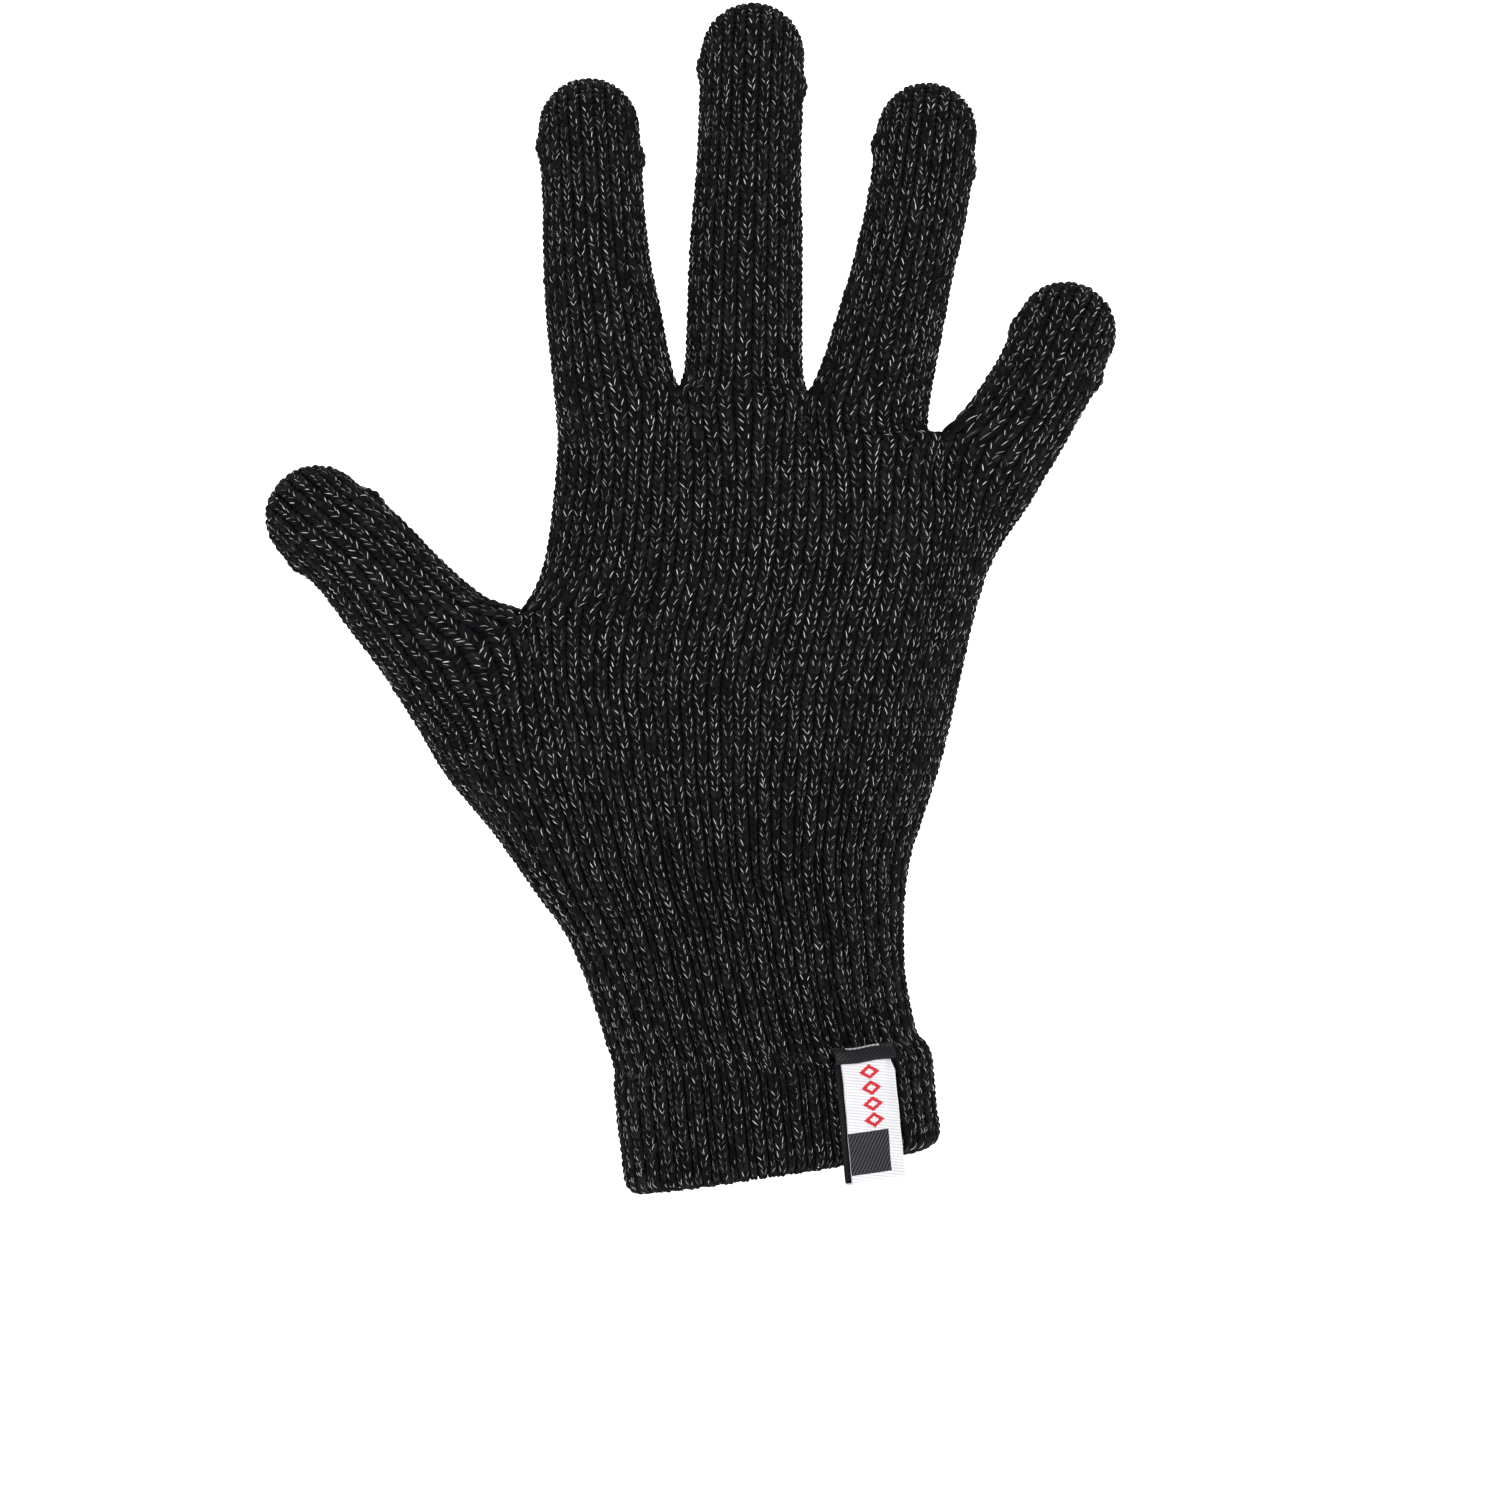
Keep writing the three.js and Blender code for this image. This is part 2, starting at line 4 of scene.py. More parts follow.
import bpy
import numpy as np
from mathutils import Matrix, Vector


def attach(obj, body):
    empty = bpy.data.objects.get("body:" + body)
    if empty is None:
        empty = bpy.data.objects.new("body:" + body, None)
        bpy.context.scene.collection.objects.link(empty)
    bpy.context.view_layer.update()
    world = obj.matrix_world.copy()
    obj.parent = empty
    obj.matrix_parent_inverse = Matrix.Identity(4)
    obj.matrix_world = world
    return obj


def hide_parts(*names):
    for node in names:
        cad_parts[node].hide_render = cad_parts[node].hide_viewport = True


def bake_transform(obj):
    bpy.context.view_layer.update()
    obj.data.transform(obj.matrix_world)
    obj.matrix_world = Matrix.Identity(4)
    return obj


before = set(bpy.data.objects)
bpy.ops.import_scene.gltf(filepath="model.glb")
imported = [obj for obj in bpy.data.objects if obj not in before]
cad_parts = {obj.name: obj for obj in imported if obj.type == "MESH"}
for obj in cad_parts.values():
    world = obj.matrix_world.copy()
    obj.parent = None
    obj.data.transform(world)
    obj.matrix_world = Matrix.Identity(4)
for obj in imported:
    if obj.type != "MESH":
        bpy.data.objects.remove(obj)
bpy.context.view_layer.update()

MM = 0.001
RNG = np.random.default_rng(20)
BACK, FRONT = -1, 1  # back of the hand and palm side, as the sign of y

# ---------------------------------------------------------------- knitting, in millimetres
ROW = 1.3  # height of one course
WALE = 2.5  # width of one column of stitches
THUMB_WALES = 9  # columns of each face that the thumb shares with the hand
FINGER_WALES = 9  # the same for each finger
SIDE_WALES = 2  # columns that start at a crotch and close a finger's side, on each face
THUMB_SIDE_WALES = 2
KNIT_RISE = 0.6  # how far the yarn stands above the lattice that it is laid on
HEM_RISE = 0.9  # how far the hem stands proud of the wrist
RIB_FULL, RIB_NONE = 56.0, 80.0  # heights between which the ribs fade into plain knit
RIB_DEPTH = 0.3
RIB_SQUEEZE = 0.1

# Rows of the hand with its thumb: height of the middle, left end x z, right end x z, depth of back and palm
HAND = np.array(
    [
        [0.0, -28.3, -4.4, 28.3, 4.4, 20.2, 20.2],
        [10.4, -29.6, 6.6, 27.1, 14.2, 20.2, 20.2],
        [20.3, -30.9, 17.1, 26.3, 23.5, 20.2, 20.2],
        [28.0, -33.3, 24.9, 24.6, 31.1, 20.2, 20.2],
        [36.5, -36.0, 33.6, 23.5, 39.4, 20.4, 20.4],
        [45.7, -39.9, 43.3, 23.4, 48.1, 20.6, 20.8],
        [55.5, -47.0, 53.5, 24.3, 57.5, 20.6, 21.0],
        [65.0, -54.3, 63.6, 27.0, 66.4, 19.8, 21.2],
        [77.5, -65.4, 77.2, 30.7, 77.8, 17.8, 21.4],
        [89.0, -72.2, 89.0, 33.4, 89.0, 16.7, 20.2],
        [100.0, -80.4, 100.0, 35.9, 100.0, 15.9, 18.0],
        [106.0, -85.1, 106.0, 37.2, 106.0, 15.4, 17.0],
        [112.0, -88.4, 112.0, 39.0, 112.0, 15.0, 16.2],
    ]
)
# The same without the thumb
PALM = np.array(
    [
        [84.0, -53.5, 84.0, 32.2, 84.0, 17.0, 20.8],
        [95.0, -51.6, 95.0, 34.7, 95.0, 16.2, 19.0],
        [106.0, -49.4, 106.0, 37.2, 106.0, 15.4, 17.0],
        [109.0, -47.3, 109.0, 38.1, 109.0, 15.2, 16.4],
        [112.0, -45.8, 112.0, 39.0, 112.0, 15.0, 16.0],
        [117.4, -44.4, 117.4, 41.4, 117.4, 14.4, 15.2],
        [123.0, -43.6, 123.0, 44.6, 123.0, 13.8, 14.2],
        [130.5, -42.8, 130.5, 49.6, 130.5, 13.0, 13.2],
        [137.5, -42.4, 137.5, 53.6, 137.5, 12.1, 12.1],
        [150.0, -42.8, 150.0, 58.0, 150.0, 11.2, 11.2],
    ]
)
HAND_POWER = 2.3
FINGER_POWER = 2.2

# Where strips of columns part, as x: thumb and index, index and middle, middle and ring, ring and little
CROTCH = {"thumb": (-49.4, 106.0), "index": (-19.1, 146.9), "middle": (5.4, 145.6), "ring": (29.6, 137.2)}
ORDER = ("thumb", "index", "middle", "ring", "little")
WIDTHS = (THUMB_WALES,) + (FINGER_WALES,) * 4
THUMB_CREASE_X = -47.0  # x of the crease's lower end
THUMB_CREASE_LOW = 90.0  # its height
THUMB_DROP = 17.3  # how much lower the thumb's outer side is than its crotch, along one course
VALLEY = 14.0  # over how far the hand's flat face parts into tubes
THUMB_VALLEY = 27.0
THUMB_THINNING = 0.25  # how much flatter the back is toward the thumb's outer edge
THINNING_LOW, THINNING_RISE = 62.0, 34.0  # height at which that starts, and over how far it grows
CREASE_PULL_LOW = 36.0  # height from which the thumb's border leaves its even share for the crease
BORDERS_LOW, BORDERS_RISE = 52.0, 90.0  # height from which the fingers' borders head for the crotches

# Fingers from the tip's centre down: x, y, z, half width, half depth.
# web: how much wider the side toward the next finger is.
# joints: name, distance of the hinge from the tip, half of the length that bends. splits: where pieces meet.
FINGERS = {
    "index": {
        "line": [
            [-36.3, 0.0, 197.4, 9.7, 9.1],
            [-35.6, 0.0, 186.0, 9.65, 9.2],
            [-34.8, 0.0, 172.0, 10.2, 9.6],
            [-33.4, 0.0, 161.0, 11.0, 10.0],
            [-31.8, 0.0, 149.0, 11.3, 10.4],
            [-30.8, 0.0, 136.0, 11.2, 10.8],
            [-30.2, 0.0, 118.0, 11.0, 11.0],
        ],
        "joints": [("end", 18.5, 8.0), ("middle", 37.5, 8.5), ("root", 54.5, 7.0)],
        "splits": [27.8, 46.8],
    },
    "middle": {
        "line": [
            [-5.2, 0.0, 211.5, 9.9, 9.2],
            [-5.8, 0.0, 194.0, 9.9, 9.3],
            [-6.4, 0.0, 176.0, 10.7, 9.8],
            [-6.7, 0.0, 162.0, 11.0, 10.2],
            [-6.9, 0.0, 149.0, 11.2, 10.6],
            [-7.0, 0.0, 136.0, 11.4, 11.0],
            [-7.0, 0.0, 118.0, 11.4, 11.2],
        ],
        "joints": [("end", 19.5, 9.0), ("middle", 42.5, 9.5), ("root", 67.0, 7.0)],
        "splits": [31.0, 56.0],
    },
    "ring": {
        "line": [
            [27.9, 0.0, 196.6, 9.6, 9.0],
            [26.2, 0.0, 183.5, 9.6, 9.1],
            [23.8, 0.0, 172.5, 9.6, 9.4],
            [21.2, 0.0, 161.5, 10.1, 9.8],
            [18.1, 0.0, 149.0, 10.8, 10.3],
            [15.6, 0.0, 137.0, 11.2, 10.7],
            [12.6, 0.0, 118.0, 11.2, 11.0],
        ],
        "joints": [("end", 18.5, 8.0), ("middle", 38.0, 8.5), ("root", 56.0, 6.5)],
        "splits": [28.0, 48.0],
    },
    "little": {
        "line": [
            [54.3, 0.0, 158.8, 9.7, 8.9],
            [50.7, 0.0, 151.0, 9.6, 8.9],
            [46.2, 0.0, 143.0, 9.7, 9.0],
            [41.5, 0.0, 135.4, 9.9, 9.3],
            [36.4, 0.0, 127.0, 10.2, 9.8],
            [28.4, 0.0, 112.0, 10.4, 10.2],
        ],
        "joints": [("end", 17.5, 7.5), ("root", 33.5, 6.5)],
        "splits": [26.0],
    },
    "thumb": {
        "line": [
            [-88.0, 2.0, 123.7, 10.0, 9.4],
            [-79.8, 2.6, 116.6, 10.4, 9.7],
            [-74.0, 3.0, 109.7, 10.9, 10.0],
            [-67.4, 3.5, 101.4, 11.2, 10.8],
            [-63.2, 3.8, 95.5, 11.4, 11.8],
            [-57.5, 3.8, 87.5, 12.0, 13.2],
            [-48.0, 3.0, 74.0, 13.0, 15.0],
        ],
        "web": [0.0, 0.0, 0.2, 1.8, 6.3, 8.0, 8.0],
        "joints": [("end", 24.0, 9.0), ("root", 42.0, 7.5)],
        "splits": [33.8],
    },
}
SEGMENT_NAMES = {3: ("tip", "middle", "base"), 2: ("tip", "base")}


# ---------------------------------------------------------------- curves and sections
def smooth(t):
    t = np.clip(t, 0.0, 1.0)
    return t * t * (3 - 2 * t)


def pchip(xs, ys, x):
    """Monotone cubic interpolation of the columns of ys."""
    xs = np.asarray(xs, float)
    ys = np.asarray(ys, float)
    if ys.ndim == 1:
        ys = ys[:, None]
    h = np.diff(xs)
    delta = np.diff(ys, axis=0) / h[:, None]
    slope = np.zeros_like(ys)
    w1 = (2 * h[1:] + h[:-1])[:, None]
    w2 = (h[1:] + 2 * h[:-1])[:, None]
    same = delta[:-1] * delta[1:] > 0
    with np.errstate(divide="ignore", invalid="ignore"):
        mean = (w1 + w2) / (w1 / delta[:-1] + w2 / delta[1:])
    slope[1:-1] = np.where(same, mean, 0.0)
    slope[0], slope[-1] = delta[0], delta[-1]
    x = np.asarray(x, float)
    i = np.clip(np.searchsorted(xs, x) - 1, 0, len(xs) - 2)
    t = ((x - xs[i]) / h[i])[:, None]
    hh = h[i][:, None]
    a = (1 + 2 * t) * (1 - t) ** 2
    b = t * (1 - t) ** 2
    c = t * t * (3 - 2 * t)
    d = t * t * (t - 1)
    return a * ys[i] + b * hh * slope[i] + c * ys[i + 1] + d * hh * slope[i + 1]


def superellipse(angle, power):
    c, s = np.cos(angle), np.sin(angle)
    return np.sign(c) * np.abs(c) ** (2 / power), np.sign(s) * np.abs(s) ** (2 / power)


class Finger:
    """The centre line and sections of one finger's tube. t runs up from the line's lowest point."""

    def __init__(self, data):
        line = np.array(data["line"], float)[::-1]
        line[:, 3:] -= KNIT_RISE
        steps = np.linalg.norm(np.diff(line[:, [0, 2]], axis=0), axis=1)
        self.knots = np.concatenate([[0.0], np.cumsum(steps)])
        self.line = line
        self.web = np.array(data.get("web", [0.0] * len(line)))[::-1]
        self.dome_t = self.knots[-1]
        self.tip_t = self.dome_t + line[-1, 3] + KNIT_RISE
        self.joints = data["joints"]
        self.splits = data["splits"]

    def section(self, t):
        t = np.atleast_1d(np.asarray(t, float))
        values = pchip(self.knots, self.line, t)
        low = pchip(self.knots, self.line, t - 0.5)
        high = pchip(self.knots, self.line, t + 0.5)
        along = (high - low)[:, :3]
        along[:, 1] = 0
        along /= np.linalg.norm(along, axis=1)[:, None]
        return values[:, :3], along, values[:, 3], values[:, 4]

    def at_height(self, z):
        ts = np.linspace(0, self.knots[-1], 400)
        zs = self.section(ts)[0][:, 2]
        return float(np.interp(z, zs, ts))

    def tube(self, t, angle):
        """Points on the tube; t and angle broadcast together. The angle of the left side is 180 degrees."""
        t, angle = np.broadcast_arrays(np.asarray(t, float), np.asarray(angle, float))
        centre, along, a, b = self.section(t.ravel())
        u, v = superellipse(angle.ravel(), FINGER_POWER)
        bump = self.tuck(t.ravel(), u) + np.where(u > 0, pchip(self.knots, self.web, t.ravel())[:, 0], 0.0)
        across = np.stack([along[:, 2], np.zeros(len(along)), -along[:, 0]], 1)
        deep = np.array([0.0, 1.0, 0.0])
        p = centre + across * (u * (a + bump))[:, None] + deep * (v * b)[:, None]
        return p.reshape(t.shape + (3,))

    def tuck(self, t, u):
        """Little nubs at both sides, where the narrowing of the fingertip begins."""
        here = self.tip_t - np.where(u < 0, *TUCK_FROM_TIP) - t
        nub = TUCK_RISE * np.exp(-((here / TUCK_LENGTH) ** 2)) * np.clip(np.abs(u) * 10 - 9, 0, 1)
        return nub - TIP_NARROWING * smooth((-here - TUCK_LENGTH) / 2.0)

    def station(self, from_tip):
        centre, along, _, _ = self.section([self.tip_t - from_tip])
        return centre[0], along[0]


TUCK_FROM_TIP = (12.8, 15.8)  # left side, right side
TUCK_LENGTH = 1.5
TUCK_RISE = 1.0
TIP_NARROWING = 0.1
FINGER = {name: Finger(data) for name, data in FINGERS.items()}
HALF_SAMPLES = 181


def half_loop(table, s, face):
    """The back or palm half of one course of the hand, from its left end to its right."""
    _, left_x, left_z, right_x, right_z, back, front = pchip(table[:, 0], table, [s])[0]
    angle = np.linspace(math.pi, 0, HALF_SAMPLES)
    u, v = superellipse(angle, HAND_POWER)
    half_x, half_z = (right_x - left_x) / 2, (right_z - left_z) / 2
    u = u * (1 - KNIT_RISE / half_x)
    depth = (back if face == BACK else front) - KNIT_RISE
    if face == BACK and table is HAND:
        thinning = THUMB_THINNING * smooth((s - THINNING_LOW) / THINNING_RISE)
        depth = depth * (1 - thinning * smooth((-u - 0.1) / 0.8))
    x = (left_x + right_x) / 2 + u * half_x
    z = (left_z + right_z) / 2 + u * half_z
    return np.stack([x, face * v * depth, z], 1)


def lengths(points):
    return np.concatenate([[0.0], np.cumsum(np.linalg.norm(np.diff(points, axis=0), axis=1))])


def border_marks(points, run, s, with_thumb):
    """Lengths along a course at which the strips of columns part."""
    total = sum(WIDTHS) if with_thumb else sum(WIDTHS[1:]) + SIDE_WALES
    edges = np.cumsum(WIDTHS) if with_thumb else np.cumsum(WIDTHS[1:]) + SIDE_WALES
    even = run[-1] * edges[:-1] / total
    if with_thumb:
        high = max(s, THUMB_CREASE_LOW)
        crotch_x, crotch_z = CROTCH["thumb"]
        climb = smooth((high - THUMB_CREASE_LOW) / (crotch_z - THUMB_CREASE_LOW))
        crease_x = THUMB_CREASE_X + (crotch_x - THUMB_CREASE_X) * climb
        reach = half_loop(HAND, high, BACK)
        reach_run = lengths(reach)
        crease = np.interp(crease_x, reach[:, 0], reach_run) / reach_run[-1]
        share = smooth((s - CREASE_PULL_LOW) / (THUMB_CREASE_LOW - CREASE_PULL_LOW))
        first = even[0] + (crease * run[-1] - even[0]) * share
        rest = first + (run[-1] - first) * np.cumsum(WIDTHS[1:])[:-1] / sum(WIDTHS[1:])
        even = np.concatenate([[first], rest])
    by_x = np.interp([CROTCH[name][0] for name in ORDER[1:4]], points[:, 0], run)
    share = smooth((s - BORDERS_LOW) / BORDERS_RISE)
    even[-3:] += (by_x - even[-3:]) * share
    return np.concatenate([[0.0], even, [run[-1]]])


def spread(points, run, marks, counts):
    """Points along a course, each span between marks split evenly into its count of columns."""
    out = []
    for low, high, count in zip(marks[:-1], marks[1:], counts):
        wanted = np.linspace(low, high, count + 1)
        out.append(np.stack([np.interp(wanted, run, points[:, i]) for i in range(3)], 1))
    return out


def course(table, s, face, with_thumb):
    points = half_loop(table, s, face)
    run = lengths(points)
    counts = WIDTHS if with_thumb else (WIDTHS[1] + SIDE_WALES,) + WIDTHS[2:]
    return spread(points, run, border_marks(points, run, s, with_thumb), counts)


# ---------------------------------------------------------------- lattices of stitches
class Lattice:
    """A grid of points; each cell that is kept holds one stitch. Rows run up, columns from left to right."""

    def __init__(self, points, face, keep=None, t=None, rib=None, levels=None):
        self.points = points
        self.face = face
        rows, columns = points.shape[0] - 1, points.shape[1] - 1
        self.keep = np.ones((rows, columns), bool) if keep is None else keep
        self.t = t  # distance along the finger of each row of points
        self.levels = levels  # height of each row of points on the hand
        self.rib = np.zeros((rows, columns)) if rib is None else rib


UPRIGHT = 0.85  # how far stitches in slanting courses stay square to their column


def cells(lattice, mask):
    """Centre, column vector, row vector and outward normal of each kept cell, and its rib's height."""
    p = lattice.points
    a, b = p[:-1, :-1], p[:-1, 1:]
    c, d = p[1:, :-1], p[1:, 1:]
    centre = (a + b + c + d) / 4
    across = ((b - a) + (d - c)) / 2
    up = ((c - a) + (d - b)) / 2
    normal = np.cross(across, up) * -lattice.face
    length = np.linalg.norm(normal, axis=-1)
    keep = lattice.keep & mask[:, None] & (length > 1e-3)
    normal = normal / np.maximum(length, 1e-9)[..., None]
    along = up / np.maximum(np.linalg.norm(up, axis=-1), 1e-9)[..., None]
    across = across - UPRIGHT * (across * along).sum(-1)[..., None] * along
    return centre[keep], across[keep], up[keep], normal[keep], lattice.rib[keep]


BASE_S = 18.2
ROW_COUNT = int(math.ceil((CROTCH["index"][1] - BASE_S) / ROW)) + 1
LEVELS = BASE_S + ROW * np.arange(ROW_COUNT + 1)


def level_row(z):
    return int(round((z - BASE_S) / ROW))


CROTCH_ROW = {name: level_row(z) for name, (_, z) in CROTCH.items()}
TOP_ROW = {
    "thumb": CROTCH_ROW["thumb"],
    "index": CROTCH_ROW["index"],
    "middle": CROTCH_ROW["index"],
    "ring": CROTCH_ROW["middle"],
    "little": CROTCH_ROW["ring"],
}
# The crotch on each strip's left and right, by the name of the finger to its left
SIDES = {
    "thumb": (None, "thumb"),
    "index": ("thumb", "index"),
    "middle": ("index", "middle"),
    "ring": ("middle", "ring"),
    "little": ("ring", None),
}


def side_counts(name):
    count = THUMB_SIDE_WALES if name == "thumb" else SIDE_WALES
    return tuple(0 if crotch is None else count for crotch in SIDES[name])


def finger_angles(name, face):
    own = WIDTHS[ORDER.index(name)]
    left, right = side_counts(name)
    return np.radians(face * np.linspace(180.0, 0.0, left + own + right + 1))


FINE = 0.65


def thumb_courses(face):
    """The thumb's strip on the hand, as a table from height and share of its width to a point."""
    fine = np.arange(0.0, CROTCH["thumb"][1] + 2.0, FINE)
    return fine, np.array([course(HAND, s, face, True)[0] for s in fine])


def thumb_on_hand(levels, face):
    """The thumb's columns below its crotch: courses drop toward the outer side."""
    fine, table = thumb_courses(face)
    share = np.linspace(0, 1, THUMB_WALES + 1)
    drop = THUMB_DROP * smooth((levels - 40) / (CROTCH["thumb"][1] - 40))
    s = levels[:, None] - drop[:, None] * (1 - share[None]) ** 1.5
    place = np.clip(s / FINE, 0, len(fine) - 1.001)
    low = place.astype(int)
    part = (place - low)[..., None]
    column = np.arange(THUMB_WALES + 1)[None]
    return table[low, column] * (1 - part) + table[low + 1, column] * part


def strip_on_hand(name, levels, face):
    """A strip's points on the hand. The index strip also has the side columns that start at the thumb."""
    if name == "thumb":
        return thumb_on_hand(levels, face)
    number = ORDER.index(name)
    rows = []
    for s in levels:
        whole = course(HAND, min(s, CROTCH["thumb"][1]), face, True)[number]
        if name == "index":
            whole = np.concatenate([np.repeat(whole[:1], SIDE_WALES, 0), whole])
        w = float(smooth((s - CROTCH["thumb"][1] + THUMB_VALLEY) / THUMB_VALLEY))
        if w > 0:
            alone = course(PALM, s, face, False)[number - 1]
            whole = whole + (alone - whole) * w
        rows.append(whole)
    return np.array(rows)


def build_strips():
    strips = {}
    for face in (BACK, FRONT):
        for name in ORDER:
            finger = FINGER[name]
            top = TOP_ROW[name]
            levels = LEVELS[: top + 1]
            if name == "thumb":
                t_top = finger.knots[2]
                t_rows = np.maximum(t_top + (levels - levels[-1]) * 0.95, 0.0)
            else:
                t_top = finger.at_height(levels[-1])
                t_rows = np.array([finger.at_height(max(z, finger.line[0, 2])) for z in levels])
            count = int(round((finger.dome_t - t_top) / ROW))
            t_more = t_top + (finger.dome_t - t_top) * np.arange(1, count + 1) / count
            t_rows = np.concatenate([t_rows, t_more])
            angles = finger_angles(name, face)
            points = finger.tube(t_rows[:, None], angles[None, :])
            hand = strip_on_hand(name, levels, face)
            left, right = side_counts(name)
            extra_left = 0 if name == "index" else left
            hand = np.concatenate(
                [np.repeat(hand[:, :1], extra_left, 1), hand, np.repeat(hand[:, -1:], right, 1)], axis=1
            )
            place = np.linspace(0, 1, hand.shape[1])[None, :]
            w = []
            for side in SIDES[name]:
                if name == "index" and side == "thumb":
                    side = "index"
                partner = side or ("thumb" if name == "thumb" else "ring")
                reach = THUMB_VALLEY if name == "thumb" else VALLEY * (1.0 if side else 1.6)
                w.append(smooth((levels - CROTCH[partner][1] + reach) / reach)[:, None])
            weight = w[0] * (1 - place) + w[1] * place
            points[: top + 1] = hand + (points[: top + 1] - hand) * weight[..., None]
            strips[name, face] = [points, t_rows]
    return strips


CROTCH_FADE = 1.7  # over how many courses two fingers part
THUMB_FADE = 3.5  # the same at the thumb


def close_crotches(strips):
    """Neighbouring strips share their border below a crotch, and their sides start from one line at it."""
    for name, other in zip(ORDER[:-1], ORDER[1:]):
        row = CROTCH_ROW[name]
        for face in (BACK, FRONT):
            left, right = strips[name, face][0], strips[other, face][0]
            left_side, right_side = side_counts(name)[1], side_counts(other)[0]
            left_border, right_border = left.shape[1] - 1 - left_side, right_side
            middle = (left[: row + 1, left_border] + right[: row + 1, right_border]) / 2
            for points, border, inward, sides in (
                (left, left_border, -1, left_side),
                (right, right_border, 1, right_side),
            ):
                shift = middle - points[: row + 1, border]
                fade = THUMB_FADE if name == "thumb" else CROTCH_FADE
                fall = np.exp(-np.arange(1, points.shape[0] - row) / fade)
                shift = np.concatenate([shift, shift[-1:] * fall[:, None]])
                for step in range(FINGER_WALES):
                    share = (1 - step / FINGER_WALES) ** 2
                    points[:, border + inward * step] += shift * share
                for step in range(1, sides + 1):
                    points[: row, border - inward * step] = points[: row, border]
        crotch_line(strips, name, other, row)


def crotch_line(strips, name, other, row):
    """At the crotch's own row the side columns of both neighbours lie on one line from back to palm."""
    ends = []
    for face in (BACK, FRONT):
        left = strips[name, face][0]
        ends.append(left[row, left.shape[1] - 1 - side_counts(name)[1]].copy())
    back_end, front_end = ends
    for face in (BACK, FRONT):
        own_end = back_end if face == BACK else front_end
        far_end = front_end if face == BACK else back_end
        middle = (own_end + far_end) / 2
        for strip, inward, sides in ((name, -1, side_counts(name)[1]), (other, 1, side_counts(other)[0])):
            points = strips[strip, face][0]
            border = points.shape[1] - 1 - sides if inward < 0 else sides
            fade = THUMB_FADE if name == "thumb" else CROTCH_FADE
            fall = np.exp(-np.arange(points.shape[0] - row) / fade)
            for step in range(1, sides + 1):
                goal = own_end + (middle - own_end) * step / sides
                shift = goal - points[row, border - inward * step]
                points[row:, border - inward * step] += shift * fall[:, None]


def strip_keep(name, points):
    keep = np.ones((points.shape[0] - 1, points.shape[1] - 1), bool)
    left, right = side_counts(name)
    if left:
        keep[: CROTCH_ROW[SIDES[name][0]], :left] = False
    if right:
        keep[: CROTCH_ROW[SIDES[name][1]], -right:] = False
    return keep


def rib_sign(column, face):
    """Knit columns stand out and purl columns sink; the pattern runs on round both ends of a course."""
    return 1 if (column + (0 if face == BACK else 1)) % 2 == 0 else -1


def ribbed(points, face, amount, first_column, skip_left=0):
    """Squeezes sunken columns and gives the rib height of each cell."""
    rows, columns = points.shape[:2]
    rib = np.zeros((rows - 1, columns - 1))
    mean = (amount[:-1] + amount[1:]) / 2
    for c in range(columns - 1):
        rib[:, c] = rib_sign(first_column + c - skip_left, face) * mean
    shifted = points.copy()
    for c in range(1, columns - 1):
        step = points[:, c + 1] - points[:, c - 1]
        toward = -rib_sign(first_column + c - skip_left, face)
        shifted[:, c] += toward * 0.5 * RIB_SQUEEZE * step * amount[:, None]
    return shifted, rib


SPARE_ROWS = 200  # more than any finger has above its crotch
ABOVE_RIBS = 999.0  # a height at which no rib is left


def make_lattices():
    strips = build_strips()
    close_crotches(strips)
    out = {}
    starts = np.concatenate([[0], np.cumsum(WIDTHS)])
    for (name, face), (points, t_rows) in strips.items():
        keep = strip_keep(name, points)
        levels = np.concatenate([LEVELS, np.full(SPARE_ROWS, ABOVE_RIBS)])[: points.shape[0]]
        levels[TOP_ROW[name] + 1 :] = ABOVE_RIBS
        amount = 1 - smooth((levels - RIB_FULL) / (RIB_NONE - RIB_FULL))
        left = side_counts(name)[0]
        points, rib = ribbed(points, face, amount, starts[ORDER.index(name)], left)
        out[name, face] = Lattice(points, face, keep, t_rows, rib, levels)
    return out


STRIPS = make_lattices()

# ---------------------------------------------------------------- yarn
LEG_RINGS = 6
LEG_SIDES = 5


def leg_template(side):
    """One leg of a stitch in millimetres: across, up, out. The left leg leans more than the right."""
    s = np.linspace(0, 1, LEG_RINGS)
    if side < 0:
        x = -0.12 - 0.70 * smooth(s) - 0.08 * s
    else:
        x = 0.30 + 0.50 * smooth(s)
    y = -0.95 + 2.05 * s
    out = -0.30 + 0.60 * np.sin(math.pi * np.clip(s, 0.02, 0.98)) ** 0.7
    width = 0.57 * (0.55 + 0.45 * np.sin(math.pi * s) ** 0.6)
    height = 0.42 * (0.6 + 0.4 * np.sin(math.pi * s) ** 0.6)
    path = np.stack([x, y, out], 1)
    tangent = np.gradient(path[:, :2], axis=0)
    tangent /= np.linalg.norm(tangent, axis=1)[:, None]
    lateral = np.stack([tangent[:, 1], -tangent[:, 0]], 1)
    angle = np.radians(np.linspace(-12, 192, LEG_SIDES))
    ring = np.stack([np.cos(angle), np.sin(angle)], 1)
    verts = np.zeros((LEG_RINGS, LEG_SIDES, 3))
    verts[..., :2] = path[:, None, :2] + lateral[:, None] * (ring[None, :, :1] * width[:, None, None])
    verts[..., 2] = path[:, None, 2] + ring[None, :, 1] * height[:, None]
    return verts.reshape(-1, 3), path, lateral, height, width


def grid_faces(rows, columns):
    i = np.arange(rows - 1)[:, None] * columns + np.arange(columns - 1)[None, :]
    return np.stack([i, i + 1, i + 1 + columns, i + columns], -1).reshape(-1, 4)


LEG = {side: leg_template(side) for side in (-1, 1)}
LEG_FACES = grid_faces(LEG_RINGS, LEG_SIDES)


